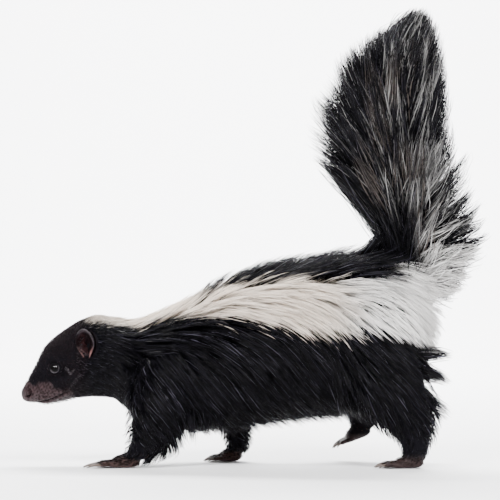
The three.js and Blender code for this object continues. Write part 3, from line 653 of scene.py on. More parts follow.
# A strand has a few three-sided rings and a tip.
def strand_faces(count, rings):
    size = rings * 3 + 1
    one = [[0, 2, 1]]
    for r in range(rings - 1):
        for k in range(3):
            a, b = r * 3 + k, r * 3 + (k + 1) % 3
            one += [[a, b, b + 3], [a, b + 3, a + 3]]
    last = rings * 3 - 3
    one += [[last + k, last + (k + 1) % 3, size - 1] for k in range(3)]
    one = np.array(one)
    return (one[None] + (np.arange(count) * size)[:, None, None]).reshape(-1, 3)


# Points of each guide at shares of its length.
def along_guides(guides, share):
    steps = guides.shape[1] - 1
    t = np.clip(share, 0, 1) * steps
    i = np.minimum(t.astype(int), steps - 1)
    rest = (t - i)[..., None]
    rows = np.arange(len(guides))[:, None]
    return guides[rows, i] * (1 - rest) + guides[rows, i + 1] * rest


def nearest_guides(roots, guide_roots):
    tree = KDTree(len(guide_roots))
    for i, root in enumerate(guide_roots.tolist()):
        tree.insert(root, i)
    tree.balance()
    return np.array([tree.find(root)[1] for root in roots.tolist()])


TIP_FROM = 0.84


# Hair along guides: near is each hair's guide, apart its distance from it at the root, and gather how
# much of that is left at shares of its length. No hair passes the ground or the widest place.
def grown(roots, normals, near, guides, apart, gather, width, rings, stray, seed, shortest=0.62):
    pick = dice(seed)
    count = len(roots)
    places = np.concatenate([np.linspace(0, TIP_FROM, rings), [1.0]])
    length = pick.uniform(shortest, 1.04, count) ** 0.8
    share = places[None, :] * length[:, None]
    path = along_guides(guides[near], share)
    kept = np.interp(share, *gather) ** pick.uniform(0.7, 1.4, (count, 1))
    drift = pick.normal(size=(count, 1, 3)) * stray * (places ** 1.6)[None, :, None]
    path = path + apart[:, None, :] * kept[..., None] + drift
    path[:, :, 1] = np.clip(path[:, :, 1], -WIDEST, WIDEST)
    path[:, :, 2] = np.maximum(path[:, :, 2], LOWEST_HAIR)
    ahead = unit(np.gradient(path, axis=1))
    roll = pick.normal(size=(count, 1, 3)) * 0.45
    across = unit(np.cross(normals[:, None, :] + roll, ahead))
    out = np.cross(ahead, across)
    taper = np.interp(places[:-1], [0, 0.3, TIP_FROM], [0.75, 1.0, 0.5])[None, :, None]
    wide = (width * pick.uniform(0.7, 1.3, count))[:, None, None] * taper / 2
    body = path[:, :-1]
    corners = np.stack([
        body + across[:, :-1] * wide,
        body - across[:, :-1] * wide,
        body + out[:, :-1] * wide * 0.9,
    ], axis=2)
    points = np.concatenate([corners.reshape(count, rings * 3, 3), path[:, -1:]], axis=1)
    where = np.concatenate([np.repeat(places[:-1], 3), [1.0]])
    return dict(points=points, rings=rings, where=where, roots=roots, near=near, path=path, pick=pick)


# Two notches open behind the thigh, between the tufts that stand out there.
NOTCHES = [((149, 97), (180, 96), 8.5), ((149, 76), (180, 70.5), 7)]


def clear_of_notches(hair):
    x, z = hair["path"][..., 0], hair["path"][..., 2]
    inside = np.zeros(x.shape, bool)
    for (x0, z0), (x1, z1), half in NOTCHES:
        along = (x - x0) / (x1 - x0)
        inside |= (along > 0) & (np.abs(z - z0 - (z1 - z0) * along) < half * along + 0.3)
    keep = ~inside.any(axis=1)
    for part in ("points", "roots", "near", "path"):
        hair[part] = hair[part][keep]
    return hair


# The most triangles in one coat piece, and half the size of a hair's patch on the bake's map
PIECE_LIMIT = 190000
PATCH_HALF = 0.0014


# Gives a mesh a colour at every point, under the name that the materials read.
def paint(mesh, tint):
    rgba = np.ones((len(mesh.vertices), 4))
    rgba[:, :3] = tint.reshape(-1, 3)
    mesh.attributes.new("tint", "FLOAT_COLOR", "POINT").data.foreach_set("color", rgba.ravel())


# Coat pieces from grown hair. On the bake's map each hair is a small patch at its root's place.
def coat_pieces(name, hair, colour, unwrap):
    count, size = hair["points"].shape[:2]
    each = len(strand_faces(1, hair["rings"]))
    order = np.argsort(hair["roots"][:, 0], kind="stable")
    parts = max(1, math.ceil(count * each / PIECE_LIMIT))
    tint = colour(hair)
    u, v = unwrap(hair["roots"])
    across = np.concatenate([np.tile([-1.0, 1.0, 0.0], hair["rings"]), [0.0]]) * PATCH_HALF
    down = (hair["where"] * 2 - 1) * PATCH_HALF
    for number, chosen in enumerate(np.array_split(order, parts), 1):
        faces = strand_faces(len(chosen), hair["rings"])
        mesh = bpy.data.meshes.new(f"{name}_{number}")
        mesh.vertices.add(len(chosen) * size)
        mesh.vertices.foreach_set("co", ((hair["points"][chosen] + SHIFT) * MM).ravel())
        mesh.loops.add(faces.size)
        mesh.loops.foreach_set("vertex_index", faces.ravel())
        mesh.polygons.add(len(faces))
        mesh.polygons.foreach_set("loop_start", np.arange(0, faces.size, 3))
        mesh.update(calc_edges=True)
        mesh.shade_smooth()
        paint(mesh, tint[chosen])
        spots = np.stack([u[chosen, None] + across, v[chosen, None] + down], axis=-1).reshape(-1, 2)
        bake = mesh.uv_layers.new(name="OFBake")
        bake.data.foreach_set("uv", spots[faces.ravel()].ravel())
        piece = new_object(mesh.name, mesh)
        mesh.materials.append(hair_finish)
        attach(piece, "root")


# Materials

def material(name):
    made = bpy.data.materials.new(name)
    made.use_nodes = True
    return made, made.node_tree.nodes["Principled BSDF"]


# Sets a node's inputs, each to a plain value or to what another node gives.
def fill(made, node, values):
    for name, value in values.items():
        if isinstance(value, bpy.types.NodeSocket):
            made.node_tree.links.new(value, node.inputs[name])
        else:
            node.inputs[name].default_value = value


def node_of(made, kind, values):
    node = made.node_tree.nodes.new("ShaderNode" + kind)
    fill(made, node, values)
    return node


def tint_of(made):
    tint = node_of(made, "Attribute", {})
    tint.attribute_name = "tint"
    return tint.outputs


def place_of(made):
    return node_of(made, "TexCoord", {}).outputs["Object"]


def grain_of(made, scale, detail):
    grain = node_of(made, "TexNoise", {"Scale": scale, "Detail": detail, "Vector": place_of(made)})
    return grain.outputs["Fac"]


def spread_of(made, value, given, wanted):
    return node_of(made, "MapRange", {
        "Value": value, "From Min": given[0], "From Max": given[1], "To Min": wanted[0], "To Max": wanted[1],
    }).outputs["Result"]


def bump_of(made, grain, strength, depth):
    bump = node_of(made, "Bump", {"Strength": strength, "Distance": depth, "Height": grain})
    return bump.outputs["Normal"]


# Pale hair is duller than dark hair.
def hair_material():
    made, shader = material("hair")
    tint = tint_of(made)
    fill(made, shader, {
        "Base Color": tint["Color"],
        "Roughness": spread_of(made, tint["Fac"], (0, 0.6), (0.26, 0.62)),
        "Specular IOR Level": 0.10,
    })
    return made


# Bare skin shines a little, and the black skin under hair hardly at all.
def skin_material():
    made, shader = material("skin")
    tint = tint_of(made)
    fill(made, shader, {
        "Base Color": tint["Color"],
        "Roughness": 0.5,
        "Specular IOR Level": spread_of(made, tint["Fac"], (0.005, 0.013), (0.02, 0.16)),
        "Normal": bump_of(made, grain_of(made, 1100, 4), 0.7, 0.0006),
    })
    return made


# One colour that wanders a little from place to place.
def grained_material(name, colour, roughness):
    made, shader = material(name)
    grain = grain_of(made, 400, 2)
    ramp = node_of(made, "ValToRGB", {"Fac": grain})
    for element, share in zip(ramp.color_ramp.elements, (0.7, 1.3)):
        element.color = (*[c * share for c in colour], 1)
    fill(made, shader, {"Base Color": ramp.outputs["Color"], "Roughness": roughness})
    return made, shader, grain


# The eye is wettest under its upper lid, where it shows the lamps.
def eye_material():
    made, shader, _ = grained_material("eye gloss", (0.0009, 0.0007, 0.0007), 0.5)
    height = node_of(made, "SeparateXYZ", {"Vector": place_of(made)}).outputs["Z"]
    under_lid = ((EYE_AT[2] + 0.5) * MM, (EYE_AT[2] + 1.2) * MM)
    wet = spread_of(made, height, under_lid, (0.08, 1.0))
    fill(made, shader, {"Specular IOR Level": 0.0, "Coat Weight": wet})
    return made


def claw_material():
    made, shader, grain = grained_material("claw horn", (0.085, 0.062, 0.05), 0.35)
    fill(made, shader, {"Normal": bump_of(made, grain, 0.3, 0.0004)})
    return made


hair_finish = hair_material()
skin_finish = skin_material()

# Colours of hair and skin, as linear light
BLACK = np.array([0.0030, 0.0028, 0.0039])
CREAM = np.array([0.95, 0.84, 0.73])
WHITE = np.array([0.88, 0.86, 0.84])
UNDERFUR = np.array([0.125, 0.105, 0.094])
FACE_BROWN = np.array([0.014, 0.008, 0.009])
FACE_BLACK = np.array([0.0135, 0.0092, 0.0112])
# Pale grey of the painted highlights on the face's folds
PAINTED_FOLD_HIGHLIGHT = np.array([0.12, 0.105, 0.115])
MUZZLE_SKIN = np.array([0.0190, 0.0096, 0.0108])
NOSE_SKIN = np.array([0.0215, 0.0118, 0.0132])
LID_SKIN = np.array([0.0035, 0.0030, 0.0035])
LID_LIGHT = np.array([0.062, 0.055, 0.062])
EAR_DARK = np.array([0.0050, 0.0028, 0.0034])
EAR_RIM = np.array([0.017, 0.012, 0.015])
EAR_PINK = np.array([0.15, 0.072, 0.068])
EAR_RED = np.array([0.016, 0.0045, 0.0052])
PAW_SKIN = np.array([0.040, 0.021, 0.019])


# The body's coat

# The way the coat lies at places on the body: back and down the flanks, and up in front of the tail.
def body_lie(p):
    x, z = p[:, 0], p[:, 2]
    top, low = TRUNK["top"](np.minimum(x, 110)), TRUNK["low"](np.minimum(x, 120))
    down = 1 - np.clip((z - low) / (top - low), 0, 1)
    climb = (TRUNK["top"](np.minimum(x + 10, 110)) - TRUNK["top"](np.minimum(x, 110) - 10)) / 20
    steep = mix(-0.35, -1.3, eased(-150, -110, x))
    fall = mix(climb, steep, np.minimum(1, down * 1.25) ** 0.8)
    to_tail = eased(99, 134, x) * eased(184, 206, z) * 1.2
    wave = rough(p, 60, 21) * 0.14
    return np.stack([np.ones(len(p)), wave, fall + wave + to_tail], axis=1)


BODY_LENGTH = curve([-221, -208, -190, -170, -152, -137, -118, -95, -50, 0, 110, 140, 172],
                    [1.2, 2.0, 3.4, 5, 10, 20, 30, 38, 46, 49, 50, 40, 32])
BODY_HEIGHT = curve([-221, -200, -170, -150, -137, -120, -97, -60, 0, 108, 160, 176],
                    [0.9, 1.4, 1.9, 2.6, 4.4, 8.5, 13, 17.5, 19.5, 21, 18, 12])


# Places on the bake's map: round a form, with a small margin, and along it.
def share_round(turn):
    return 0.02 + 0.96 * (turn / (2 * np.pi) + 0.5)


def trunk_unwrap(roots):
    top, low = TRUNK["top"](roots[:, 0]), TRUNK["low"](roots[:, 0])
    middle = low + (top - low) * TRUNK["wide"](roots[:, 0])
    turn = np.arctan2(roots[:, 2] - middle, roots[:, 1])
    return 0.02 + 0.9 * (roots[:, 0] + 221) / 400, share_round(turn)


# How pale each dark hair is: most are near black, and a few are several times paler.
def glints(pick, count):
    return np.exp(pick.normal(0, 1.0, (count, 1)))


def hair_between(root_tint, tip_tint, where):
    t = where[None, :, None]
    return root_tint[:, None, :] * (1 - t) + tip_tint[:, None, :] * t


# The muzzle is bare and mauve below this line.
MUZZLE_TOP = curve([-221, -214, -209, -203, -197, -191, -186, -180, -172, -166],
                   [86, 80, 74.5, 76.5, 79, 76, 71.5, 71, 72, 66])


def muzzle(points):
    x, z = points[..., 0], points[..., 2]
    wander = rough(points, 7, 61) * 1.8
    return eased(3.0, -2.4, z - MUZZLE_TOP(x) + wander) * eased(-168, -174, x)


# How much painted highlight the face's folds get, as paler hair and skin: on the wrinkle behind the eye,
# along the cheek's fold and on the eye's rim.
def painted_fold_highlights(points):
    x, z = points[..., 0], points[..., 2]
    pale = 0.6 * near_line(x, z, (-176.5, 92.5), (-171.8, 87.3), 1.1)
    pale += 0.22 * near_line(x, z, (-171.8, 87.3), (-168, 90.5), 0.9)
    pale += 0.12 * near_line(x, z, (-174, 72.3), (-163, 84.5), 1.1)
    pale += 0.05 * bell(from_eye(x, z), 6.5, 1.6)
    return np.clip(pale, 0, 1) * (x < -150)


def body_colour(hair):
    pick = hair["pick"]
    count = len(hair["roots"])
    shown = mix(hair["path"][:, -2], hair["path"][:, 1], pick.uniform(0, 0.36, (count, 1)))
    white = whiteness(shown, pick.normal(size=count) * 2.0)
    stripe_edge = (np.abs(shown[:, 2] - STRIPE_LOW(shown[:, 0])) < 14) & (shown[:, 0] > -90)
    white = np.where(stripe_edge & (pick.random(count) < 0.015), 1 - white, white)[:, None]
    back = eased(60, 120, shown[:, 0])[:, None]
    pale = mix(CREAM, WHITE, back) * pick.uniform(0.74, 1.06, (count, 1))
    pale = pale * mix(0.62, 1.0, eased(-150, -95, shown[:, 0]))[:, None]
    shade = glints(pick, count)
    # Painted highlights on the face's folds, as paler hairs
    fold = painted_fold_highlights(shown)[:, None] * pick.uniform(0.3, 1.0, (count, 1))
    face = eased(-150, -172, shown[:, 0])[:, None]
    shade = mix(shade, np.minimum(shade, 1.5), face)
    dark = mix(BLACK, FACE_BLACK, face * mix(0.6, 1.0, eased(78, 96, shown[:, 2])[:, None]))
    dark = mix(mix(dark, FACE_BROWN, muzzle(shown)[:, None]), PAINTED_FOLD_HIGHLIGHT, fold) * shade
    # Each hair is darker at its root than at its tip: painted shade where the coat covers its own roots.
    near = mix(dark, pale * 0.9, white)
    far = mix(dark * 1.15, pale, white)
    return hair_between(near, far, hair["where"])


# How closely hairs stand at places: closest on the face, few on the muzzle, and none on the nose, the
# eyes and the ears.
def body_density(points, _):
    x, z = points[:, 0], points[:, 2]
    face = eased(-132, -150, x)
    sideways = np.abs(points[:, 1]) > 5
    nose = np.linalg.norm(points - NOSE_AT, axis=1) < 8.5
    eye_or_ear = sideways & ((from_eye(x, z) < 6.2) | (from_ear(x, z, 7.6, 12) < 1))
    return mix(1.0, 7.5, face) * ~(nose | eye_or_ear) * (1 - 0.8 * muzzle(points))


BODY_GUIDES, BODY_HAIRS = 6000, 62000
HEAD_TO = -141
pick = dice(2)
others = list(limbs.values()) + [tail]
guide_roots, guide_normals = scatter(trunk, BODY_GUIDES, body_density, 1, others)
lengths = BODY_LENGTH(guide_roots[:, 0]) * pick.uniform(0.86, 1.12, len(guide_roots))
heights = BODY_HEIGHT(guide_roots[:, 0]) * pick.uniform(0.8, 1.05, len(guide_roots))
held = mix(0.35, -0.2, eased(110, 150, guide_roots[:, 0]))
body_guides = combed(guide_roots, guide_normals, body_lie, lengths, heights, held)
roots, normals = scatter(trunk, BODY_HAIRS, body_density, 3, others)
on_head = roots[:, 0] < HEAD_TO
for name, chosen, rings, left in (("coat_head", on_head, 2, 0.6), ("coat_body", ~on_head, 3, 0.4)):
    long = BODY_LENGTH(roots[chosen, 0])
    near = nearest_guides(roots[chosen], guide_roots)
    hair = grown(
        roots[chosen], normals[chosen], near, body_guides, roots[chosen] - guide_roots[near],
        ([0, 0.5, 1], [1, (1 + left) / 2, left]), np.interp(long, [1, 8, 50], [0.3, 0.48, 0.72]), rings,
        np.interp(long, [1, 50], [0.12, 1.5])[:, None, None], 4,
    )
    coat_pieces(name, clear_of_notches(hair), body_colour, trunk_unwrap)


# The legs' coat: long behind, close in front and short on the feet. By height over the foot: length,
# depth, and how far back the hair leans.
LEG_COATS = {
    "fore": sections("z length depth back", [
        (0, 2.4, 0.8, 0.6), (12, 7, 1.8, 1.0), (26, 22, 5, 1.0), (55, 36, 9, 0.8), (110, 42, 11, 0.7),
    ]),
    "hind": sections("z length depth back", [
        (0, 2.4, 0.8, 0.2), (12, 4.5, 1.2, 0.3), (26, 9, 2.6, 0.3), (55, 28, 9, 0.65), (110, 44, 12, 0.95),
    ]),
}
# How much of that length the hair has in front of each leg and behind it
LEG_SHARES = {
    "foreleg_left": (0.36, 1.75), "foreleg_right": (0.36, 0.75),
    "hindleg_left": (0.75, 1.0), "hindleg_right": (0.75, 0.9),
}
LEG_GUIDES, LEG_HAIRS = 1100, 5000


def leg_coat(name, seed):
    piece, table = limbs[name], LEGS[name]
    low = PAWS[name.replace("leg", "paw")]["at"][2]
    coat = LEG_COATS[name[:4]]

    def lie(p):
        off_foot = eased(low + 8, low + 22, p[:, 2])
        ahead = mix(-1.0, coat["back"](p[:, 2] - low), off_foot)
        return np.stack([ahead, rough(p, 40, 31) * 0.15, mix(-0.35, -1.0, off_foot)], axis=1)

    def density(points, facing):
        on_foot = eased(low + 22, low + 10, points[:, 2])
        sole = (facing[:, 2] < -0.5) * on_foot
        toes = eased(low + 6, low + 2, points[:, 2]) * on_foot
        return mix(1.0, 4.2, on_foot) * (1 - sole * 0.98) * (1 - toes * 0.8)

    def colour(hair):
        count = len(hair["roots"])
        foot = eased(low + 14, low + 5, hair["roots"][:, 2])[:, None]
        dark = mix(BLACK, PAW_SKIN * 0.16, foot) * glints(hair["pick"], count)
        white = whiteness(hair["path"][:, -2], 0)[:, None]
        white = white * (hair["roots"][:, 2:] > 100)
        # Each hair is darker at its root than at its tip: painted shade where the coat covers its own roots.
        return hair_between(mix(dark, WHITE, white), mix(dark * 1.15, WHITE, white), hair["where"])

    def unwrap(found):
        turn = np.arctan2(found[:, 1] - table["y"](found[:, 2]), found[:, 0] - table["x"](found[:, 2]))
        return share_round(turn), 0.02 + 0.9 * found[:, 2] / 180

    around, facing = scatter(piece, LEG_GUIDES, density, seed, [trunk])
    choose = dice(seed + 1)
    long = coat["length"](around[:, 2] - low) * mix(*LEG_SHARES[name], (1 + facing[:, 0]) / 2)
    long = long * choose.uniform(0.85, 1.12, len(around))
    high = coat["depth"](around[:, 2] - low) * choose.uniform(0.8, 1.1, len(around))
    guides = combed(around, facing, lie, long, high, np.full(len(around), 0.15))
    found, out = scatter(piece, LEG_HAIRS, density, seed + 2, [trunk])
    near = nearest_guides(found, around)
    hair_long = coat["length"](found[:, 2] - low)
    hair = grown(
        found, out, near, guides, found - around[near], ([0, 0.5, 1], [1, 0.65, 0.3]),
        np.interp(hair_long, [2, 8, 40], [0.32, 0.5, 0.85]), 3,
        np.interp(hair_long, [2, 40], [0.15, 1.3])[:, None, None], seed + 3,
    )
    coat_pieces("coat_" + name, clear_of_notches(hair), colour, unwrap)


for number, name in enumerate(LEGS):
    leg_coat(name, 100 + number * 10)


# Tufts behind the thighs and the elbow, and before the tail: root, tip, thickness and number of hairs
TUFTS = [
    ((148, 32, 93), (184, 33, 79), 4.8, 260), ((150, 28, 88), (180, 30, 84), 4.4, 200),
    ((146, 38, 74), (184, 41, 49), 3.8, 130), ((147, 37, 68), (180, 40, 57), 3.0, 70),
    ((145, 40, 64), (180, 43, 45), 4.0, 130), ((150, 22, 106), (185, 24, 104), 5.0, 260),
    ((148, 8, 104), (182, 9, 106), 5.0, 200),
    ((-62, 36, 52), (-57, 40, 25), 4.5, 150), ((-50, 33, 52), (-43, 37, 31), 4.5, 150),
    ((-36, 31, 52), (-28, 34, 33), 4.5, 120),
    ((112, 5, 202), (130, 5, 233), 2.6, 150), ((106, 13, 200), (127, 11, 222), 2.6, 150),
    ((116, 9, 202), (134, 8, 246), 2.6, 150),
]


# The tufts of both sides. Behind the right thigh they are shorter.
def both_tufts():
    starts, ends, thick, counts = (np.array(column, float) for column in zip(*TUFTS))
    right_ends = np.where(starts[:, :1] > 140, mix(starts, ends, 0.68), ends)
    starts = np.concatenate([starts * [1, LEFT, 1], starts])
    ends = np.concatenate([ends * [1, LEFT, 1], right_ends])
    thick, counts = np.tile(thick, 2), np.tile(counts, 2).astype(int)
    s = np.linspace(0, 1, COMB_STEPS + 1)[None, :, None]
    guides = mix(starts[:, None], ends[:, None], s) + np.array([0, 0, 3.0]) * s * (1 - s) * 2
    near = np.repeat(np.arange(len(counts)), counts)
    apart = dice(71).normal(size=(len(near), 3)) * thick[near][:, None] * [0.7, 1.0, 0.8]
    facing = np.tile([1.0, 0, 0.5], (len(near), 1))
    return grown(starts[near] + apart, facing, near, guides, apart, ([0, 0.5, 1], [1, 0.85, 0.4]),
                 np.full(len(near), 0.65), 3, 1.2, 72, shortest=0.45)


coat_pieces("coat_thigh_tufts", both_tufts(), body_colour, trunk_unwrap)


# The tail's coat: locks leave the dock outwards and sweep up to tips on the plume's outline
TAIL_LOCKS, TAIL_HAIRS = 850, 22600
TAIL_FROM, TAIL_TO = 168.0, 392.0
RISE_BEHIND = curve([168, 186, 200, 225, 260, 310, 392], [-14, -4, 9, 38, 54, 74, 82])
RISE_IN_FRONT = curve([168, 205, 240, 290, 330, 392], [46, 62, 68, 80, 88, 90])
CROWN_FROM, CROWN_SHARE = 388.0, 0.46
LOCK_SPREAD = 5.6
HIGHEST_TIP = 434.0
OVER_OUTLINE = 1.15


# Pulls points that lie far outside the plume's outline back to it.
def inside_plume(points):
    x, y, z = points[..., 0], points[..., 1], points[..., 2]
    front, back, half = PLUME["front"](z), PLUME["back"](z), PLUME["half"](z)
    middle, reach = (front + back) / 2, (back - front) / 2
    out = np.sqrt(((x - middle) / reach) ** 2 + (y / half) ** 2)
    keep = np.minimum(1, OVER_OUTLINE / np.maximum(out, 1e-6))
    return as_points(middle + (x - middle) * keep, y * keep, z)


def tail_locks(count, seed):
    pick = dice(seed)
    root_z = mix(TAIL_FROM, TAIL_TO, pick.random(count) ** 0.92)
    turn = pick.uniform(0, 2 * np.pi, count)
    front = (1 - np.cos(turn)) / 2
    rise = mix(RISE_BEHIND(root_z), RISE_IN_FRONT(root_z), front) + pick.normal(0, 7, count)
    rise = rise * (1 + 0.3 * np.abs(np.sin(turn)))
    tip_z = root_z + rise
    tip_z = np.where(tip_z > CROWN_FROM, CROWN_FROM + (tip_z - CROWN_FROM) * CROWN_SHARE, tip_z)
    tip_z = np.minimum(tip_z, HIGHEST_TIP)
    wide = eased(0.2, 0.8, np.abs(np.cos(turn))) * eased(250, 300, tip_z)
    reach = mix(0.74, 1.0, pick.random(count) ** 0.36) * pick.uniform(0.99, 1.12, count) * (1 + wide * 0.13)
    root = plume_points(root_z, turn, 0.2)
    tip = plume_points(tip_z, turn + pick.normal(0, 0.1, count), reach)
    bow = (tip - plume_points(tip_z, turn, 0)) * [1, 1, 0]
    middle = (root + tip) / 2 + bow * mix(0.14, -0.06, front)[:, None]
    middle[:, 2] = root_z + (tip_z - root_z) * mix(0.34, 0.56, front)
    s = np.linspace(0, 1, COMB_STEPS + 1)[None, :, None]
    path = root[:, None] * (1 - s) ** 2 + middle[:, None] * 2 * s * (1 - s) + tip[:, None] * s ** 2
    return root, unit(bow + [0, 1e-6, 0]), inside_plume(path)


# How a lock is coloured: black in front, at the top and at its tip, brown-grey underfur inside, and
# grey to white behind and at the tail's root.
def lock_kinds(tips, seed):
    pick = dice(seed)
    x, z = tips[:, 0], tips[:, 2]
    behind = (x - PLUME["dock"](z)) / (PLUME["back"](z) - PLUME["dock"](z) + 1)
    low = eased(258, 205, z)
    grey = eased(-0.45, 0.45, behind + pick.normal(0, 0.3, len(x))) * mix(0.42, 1.0, low)
    grey = grey * (1 - 0.6 * eased(0.45, 0.95, behind) * (1 - low))
    inner = eased(-1.0, -0.4, behind) * eased(0.9, 0.3, behind)
    brown = inner * eased(425, 385, z) * 0.6
    grey = np.maximum(grey, low * eased(0.15, 0.5, behind))
    chance = pick.random(len(x))
    pale = chance < grey
    return pale, ~pale & (pick.random(len(x)) < brown), low * eased(0.0, 0.4, behind)


lock_roots, lock_facing, tail_guides = tail_locks(TAIL_LOCKS, 51)
pale_lock, brown_lock, root_white = lock_kinds(tail_guides[:, -1], 52)


def tail_colour(hair):
    pick = hair["pick"]
    count = len(hair["roots"])
    near_lock = hair["near"]
    pale = (pale_lock[near_lock] & (pick.random(count) < 0.85)) | (pick.random(count) < 0.04)
    brown = brown_lock[near_lock] & (pick.random(count) < 0.85)
    white = root_white[near_lock][:, None]
    dark = BLACK * glints(pick, count)
    light = mix(WHITE * 0.42, WHITE, white) * pick.uniform(0.5, 1.05, (count, 1))
    under = UNDERFUR * pick.uniform(0.7, 1.5, (count, 1))
    body = np.where(pale[:, None], light, np.where(brown[:, None], under, dark))
    tip = np.where(pale[:, None], mix(dark, light, np.maximum(white, pick.random((count, 1)) < 0.35)), dark)
    t = eased(0.55, 0.95, hair["where"])[None, :, None]
    root = mix(dark, body, white)[:, None]
    start = eased(0.2, 0.52, hair["where"])[None, :, None]
    tint = mix(mix(root, body[:, None], start), tip[:, None], t)
    x, z = hair["path"][..., 0], hair["path"][..., 2]
    core = eased(262, 232, z) * eased(166, 150, x + (z - 200) * 0.25)
    core = np.concatenate([np.repeat(core[:, :-1], 3, axis=1), core[:, -1:]], axis=1)
    return mix(tint, dark[:, None], core[..., None])


def tail_unwrap(roots):
    turn = np.arctan2(roots[:, 1], roots[:, 0] - PLUME["dock"](roots[:, 2]))
    return share_round(turn), 0.02 + 0.96 * (roots[:, 2] - 150) / 250


pick = dice(53)
near = pick.integers(0, TAIL_LOCKS, TAIL_HAIRS)
apart = pick.normal(size=(TAIL_HAIRS, 3)) * LOCK_SPREAD
hair = grown(
    lock_roots[near], lock_facing[near], near, tail_guides, apart,
    ([0, 0.3, 0.7, 1], [0.6, 1.0, 0.72, 0.12]), np.full(TAIL_HAIRS, 0.9), 4, 1.2, 55, shortest=0.74,
)
coat_pieces("coat_tail", hair, tail_colour, tail_unwrap)


# The skin's colours, with the same markings as the coat

def finish_skin(piece, colour):
    paint(piece.data, colour(points_of(piece)))
    piece.data.materials.clear()
    piece.data.materials.append(skin_finish)
    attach(piece, "root")


def trunk_skin_colour(points):
    white = whiteness(points, 0)[:, None]
    # Painted highlights on the face's folds, as paler skin
    dark = mix(BLACK * 1.3, PAINTED_FOLD_HIGHLIGHT * 0.35, painted_fold_highlights(points)[:, None] * 0.6)
    mottled = MUZZLE_SKIN * np.exp(0.75 * rough(points, 2.6, 71))[:, None]
    ear = from_ear(points[:, 0], points[:, 2], 9, 14)
    dark = mix(dark, EAR_DARK, eased(1.1, 0.9, ear)[:, None])
    skin = mix(mix(dark, CREAM * 0.8, white), mottled, muzzle(points)[:, None])
    to_nose = eased(9.5, 7.5, np.linalg.norm(points - NOSE_AT, axis=1))[:, None]
    skin = mix(skin, nose_colour(points), to_nose)
    lips = bell(points[:, 2], MOUTH_LINE(points[:, 0]), 0.7) * along_mouth(points[:, 0])
    return mix(skin, BLACK * 0.6, lips[:, None])


def ear_colour(points):
    _, (place, turn) = ear_rings(LEFT)
    place, turn = np.append(place.ravel(), [0, 2]), np.append(turn.ravel(), [0, 0])
    up, across = np.sin(turn), np.cos(turn)
    rim = eased(0.78, 0.97, place) * eased(1.35, 1.1, place)
    low = eased(-0.05, -0.55, up)
    lobe = eased(0.66, 0.86, place) * eased(1.15, 1.0, place) * low
    tint = mix(EAR_DARK, EAR_RIM, (rim * eased(-0.6, 0.5, across + up))[:, None])
    red = eased(0.3, -0.5, across) * eased(0.95, 0.6, place) * 0.7
    tint = mix(tint, EAR_RED, red[:, None])
    tint = mix(tint, EAR_PINK, (lobe * mix(0.55, 1.0, eased(-0.2, 0.5, across)))[:, None])
    tint = mix(tint, BLACK * 1.5, eased(1.1, 1.3, place)[:, None])
    one = tint * (1 + 0.3 * rough(points[: len(tint)], 4, 81))[:, None]
    return np.concatenate([one, one])


# The lids are dark at the eye's edge, and paler behind and below it.
def lid_colour(points):
    x, z = points[:, 0] - EYE_AT[0], points[:, 2] - EYE_AT[2]
    far = np.hypot(x, z)
    pale = eased(3.2, 3.9, far) * eased(5.4, 4.4, far) * eased(-3, 3, 0.6 * x - z)
    pale = pale * (0.75 + 0.3 * rough(points, 2.2, 91))
    return mix(LID_SKIN, LID_LIGHT, np.clip(pale, 0, 1)[:, None])


def nose_colour(points):
    x, z = points[:, 0], points[:, 2]
    # The nostrils are painted near-black: painted shade inside their openings.
    nostril = nostril_depth(x, z) * (np.abs(points[:, 1]) > 2)
    grain = 1 + 0.4 * rough(points, 1.9, 95)
    return mix(NOSE_SKIN * grain[:, None], BLACK * 0.5, np.clip(nostril * 1.3, 0, 1)[:, None])


def leg_skin_colour(points):
    hind = points[:, 0] > 60
    height = points[:, 2] - 14 * (hind & (points[:, 1] > 0))
    foot = eased(15, 8, height)[:, None] * np.where(hind, 0.5, 1.0)[:, None]
    return mix(np.broadcast_to(BLACK * 1.5, points.shape), PAW_SKIN, foot)


finish_skin(trunk, trunk_skin_colour)
finish_skin(tail, lambda points: np.broadcast_to(BLACK * 1.5, points.shape))
for piece in limbs.values():
    finish_skin(piece, leg_skin_colour)
finish_skin(ears, ear_colour)
finish_skin(lids, lid_colour)

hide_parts("torso", "neck", "head")
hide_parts("tail")
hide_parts("ear_left", "ear_right")
for name, piece in limbs.items():
    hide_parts(name, name.replace("leg", "paw"))


# Eyes, nose and claws
def ball(centre, radii, rows, around):
    lat = np.pi * np.arange(1, rows)[:, None] / rows
    turn = full_turn(around)
    ring = as_points(-np.cos(lat), np.sin(lat) * np.cos(turn), np.sin(lat) * np.sin(turn))
    return shell(centre + ring * radii)


eye_finish = eye_material()
for side, name in ((LEFT, "eye_left"), (RIGHT, "eye_right")):
    piece = mesh_piece("eyeball_" + name[4:], *ball(EYE_AT * [1, side, 1], EYE_RADIUS, 24, 32))
    piece.data.materials.append(eye_finish)
    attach(piece, "root")
    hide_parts(name)

points, faces = ball(NOSE_AT, (5.8, 7.2, 7.2), 72, 96)
out = unit(points - NOSE_AT)
dent = 1.9 * nostril_depth(points[:, 0], points[:, 2]) * eased(0.15, 0.5, np.abs(out[:, 1]))
dent += 0.6 * bell(points[:, 1], 0, 0.55) * eased(0.1, 0.6, -out[:, 0])
pebbles = 0.09 * rough(points, 1.3, 96)
pad = mesh_piece("nose_pad", points - out * (dent - pebbles)[:, None], faces)
finish_skin(pad, nose_colour)
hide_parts("nose")

claws = mesh_piece("claws", *together([one for paw in PAWS.values() for one in claw_shells(paw)]))
claws.data.materials.append(claw_material())
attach(claws, "root")


# Floor and backdrop in one pale sweep, in metres: the floor bends up into a wall behind the animal
SWEEP_HALF, FLOOR_FROM, WALL_AT, WALL_TOP, BEND = 6.0, -4.0, 4.0, 5.0, 1.2


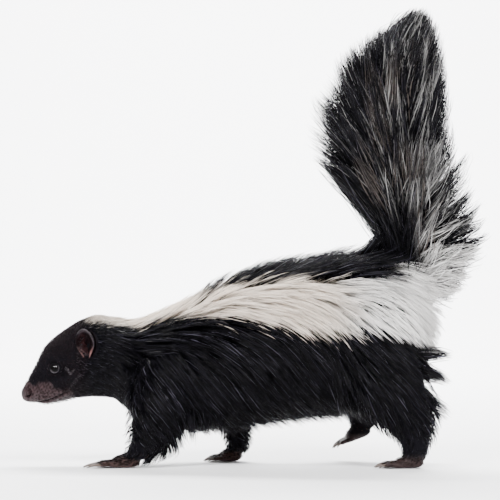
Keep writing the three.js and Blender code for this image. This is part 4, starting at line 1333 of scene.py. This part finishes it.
def sweep():
    turns = np.linspace(0.1, math.pi / 2, 14)
    bend = [(WALL_AT - BEND + math.sin(t) * BEND, BEND - math.cos(t) * BEND) for t in turns]
    path = [(FLOOR_FROM, 0.0), (WALL_AT - BEND, 0.0)] + bend + [(WALL_AT, WALL_TOP)]
    points = [(x, y, z) for x in (-SWEEP_HALF, SWEEP_HALF) for y, z in path]
    count = len(path)
    mesh = bpy.data.meshes.new("floor_sweep")
    mesh.from_pydata(points, [], [[i, i + 1, count + i + 1, count + i] for i in range(count - 1)])
    mesh.shade_smooth()
    piece = new_object("floor_sweep", mesh)
    made, shader = material("pale paper")
    fill(made, shader, {"Base Color": (0.94, 0.94, 0.95, 1), "Roughness": 0.7})
    mesh.materials.append(made)


sweep()


def soft_light(name, at, towards, size, power):
    lamp = bpy.data.lights.new(name, "AREA")
    lamp.shape = "RECTANGLE"
    lamp.size, lamp.size_y = size
    lamp.energy = power
    made = new_object(name, lamp)
    made.location = at
    made.rotation_euler = (Vector(towards) - Vector(at)).to_track_quat("-Z", "Y").to_euler()


MIDDLE = (0.0, 0.0, 0.2)
soft_light("key", (0.8, -1.7, 1.9), MIDDLE, (0.9, 0.9), 108)
soft_light("second", (-1.0, -1.7, 1.6), MIDDLE, (0.6, 0.6), 62)
soft_light("rim", (0.3, 0.9, 1.9), MIDDLE, (1.6, 0.6), 60)
soft_light("behind", (0.0, 1.9, 3.0), (0.0, 3.7, 0.4), (4.0, 1.0), 800)

world = bpy.data.worlds.new("studio")
bpy.context.scene.world = world
world.use_nodes = True
fill(world, world.node_tree.nodes["Background"], {"Color": (1, 1, 1, 1), "Strength": 0.34})

# The camera looks at the left side from 1.8 metres, level but for a slight tilt upwards.
CAMERA_X, CAMERA_Y, CAMERA_Z = (SHIFT[0] - 3.8) * MM, -1.8, 0.155
CAMERA_TILT = 1.56
camera = new_object("camera", bpy.data.cameras.new("camera"))
bpy.context.scene.camera = camera
camera.data.lens = 136
camera.data.clip_start = 0.05
camera.data.clip_end = 50
camera.location = (CAMERA_X, CAMERA_Y, CAMERA_Z)
camera.rotation_euler = (math.radians(90 + CAMERA_TILT), 0, 0)
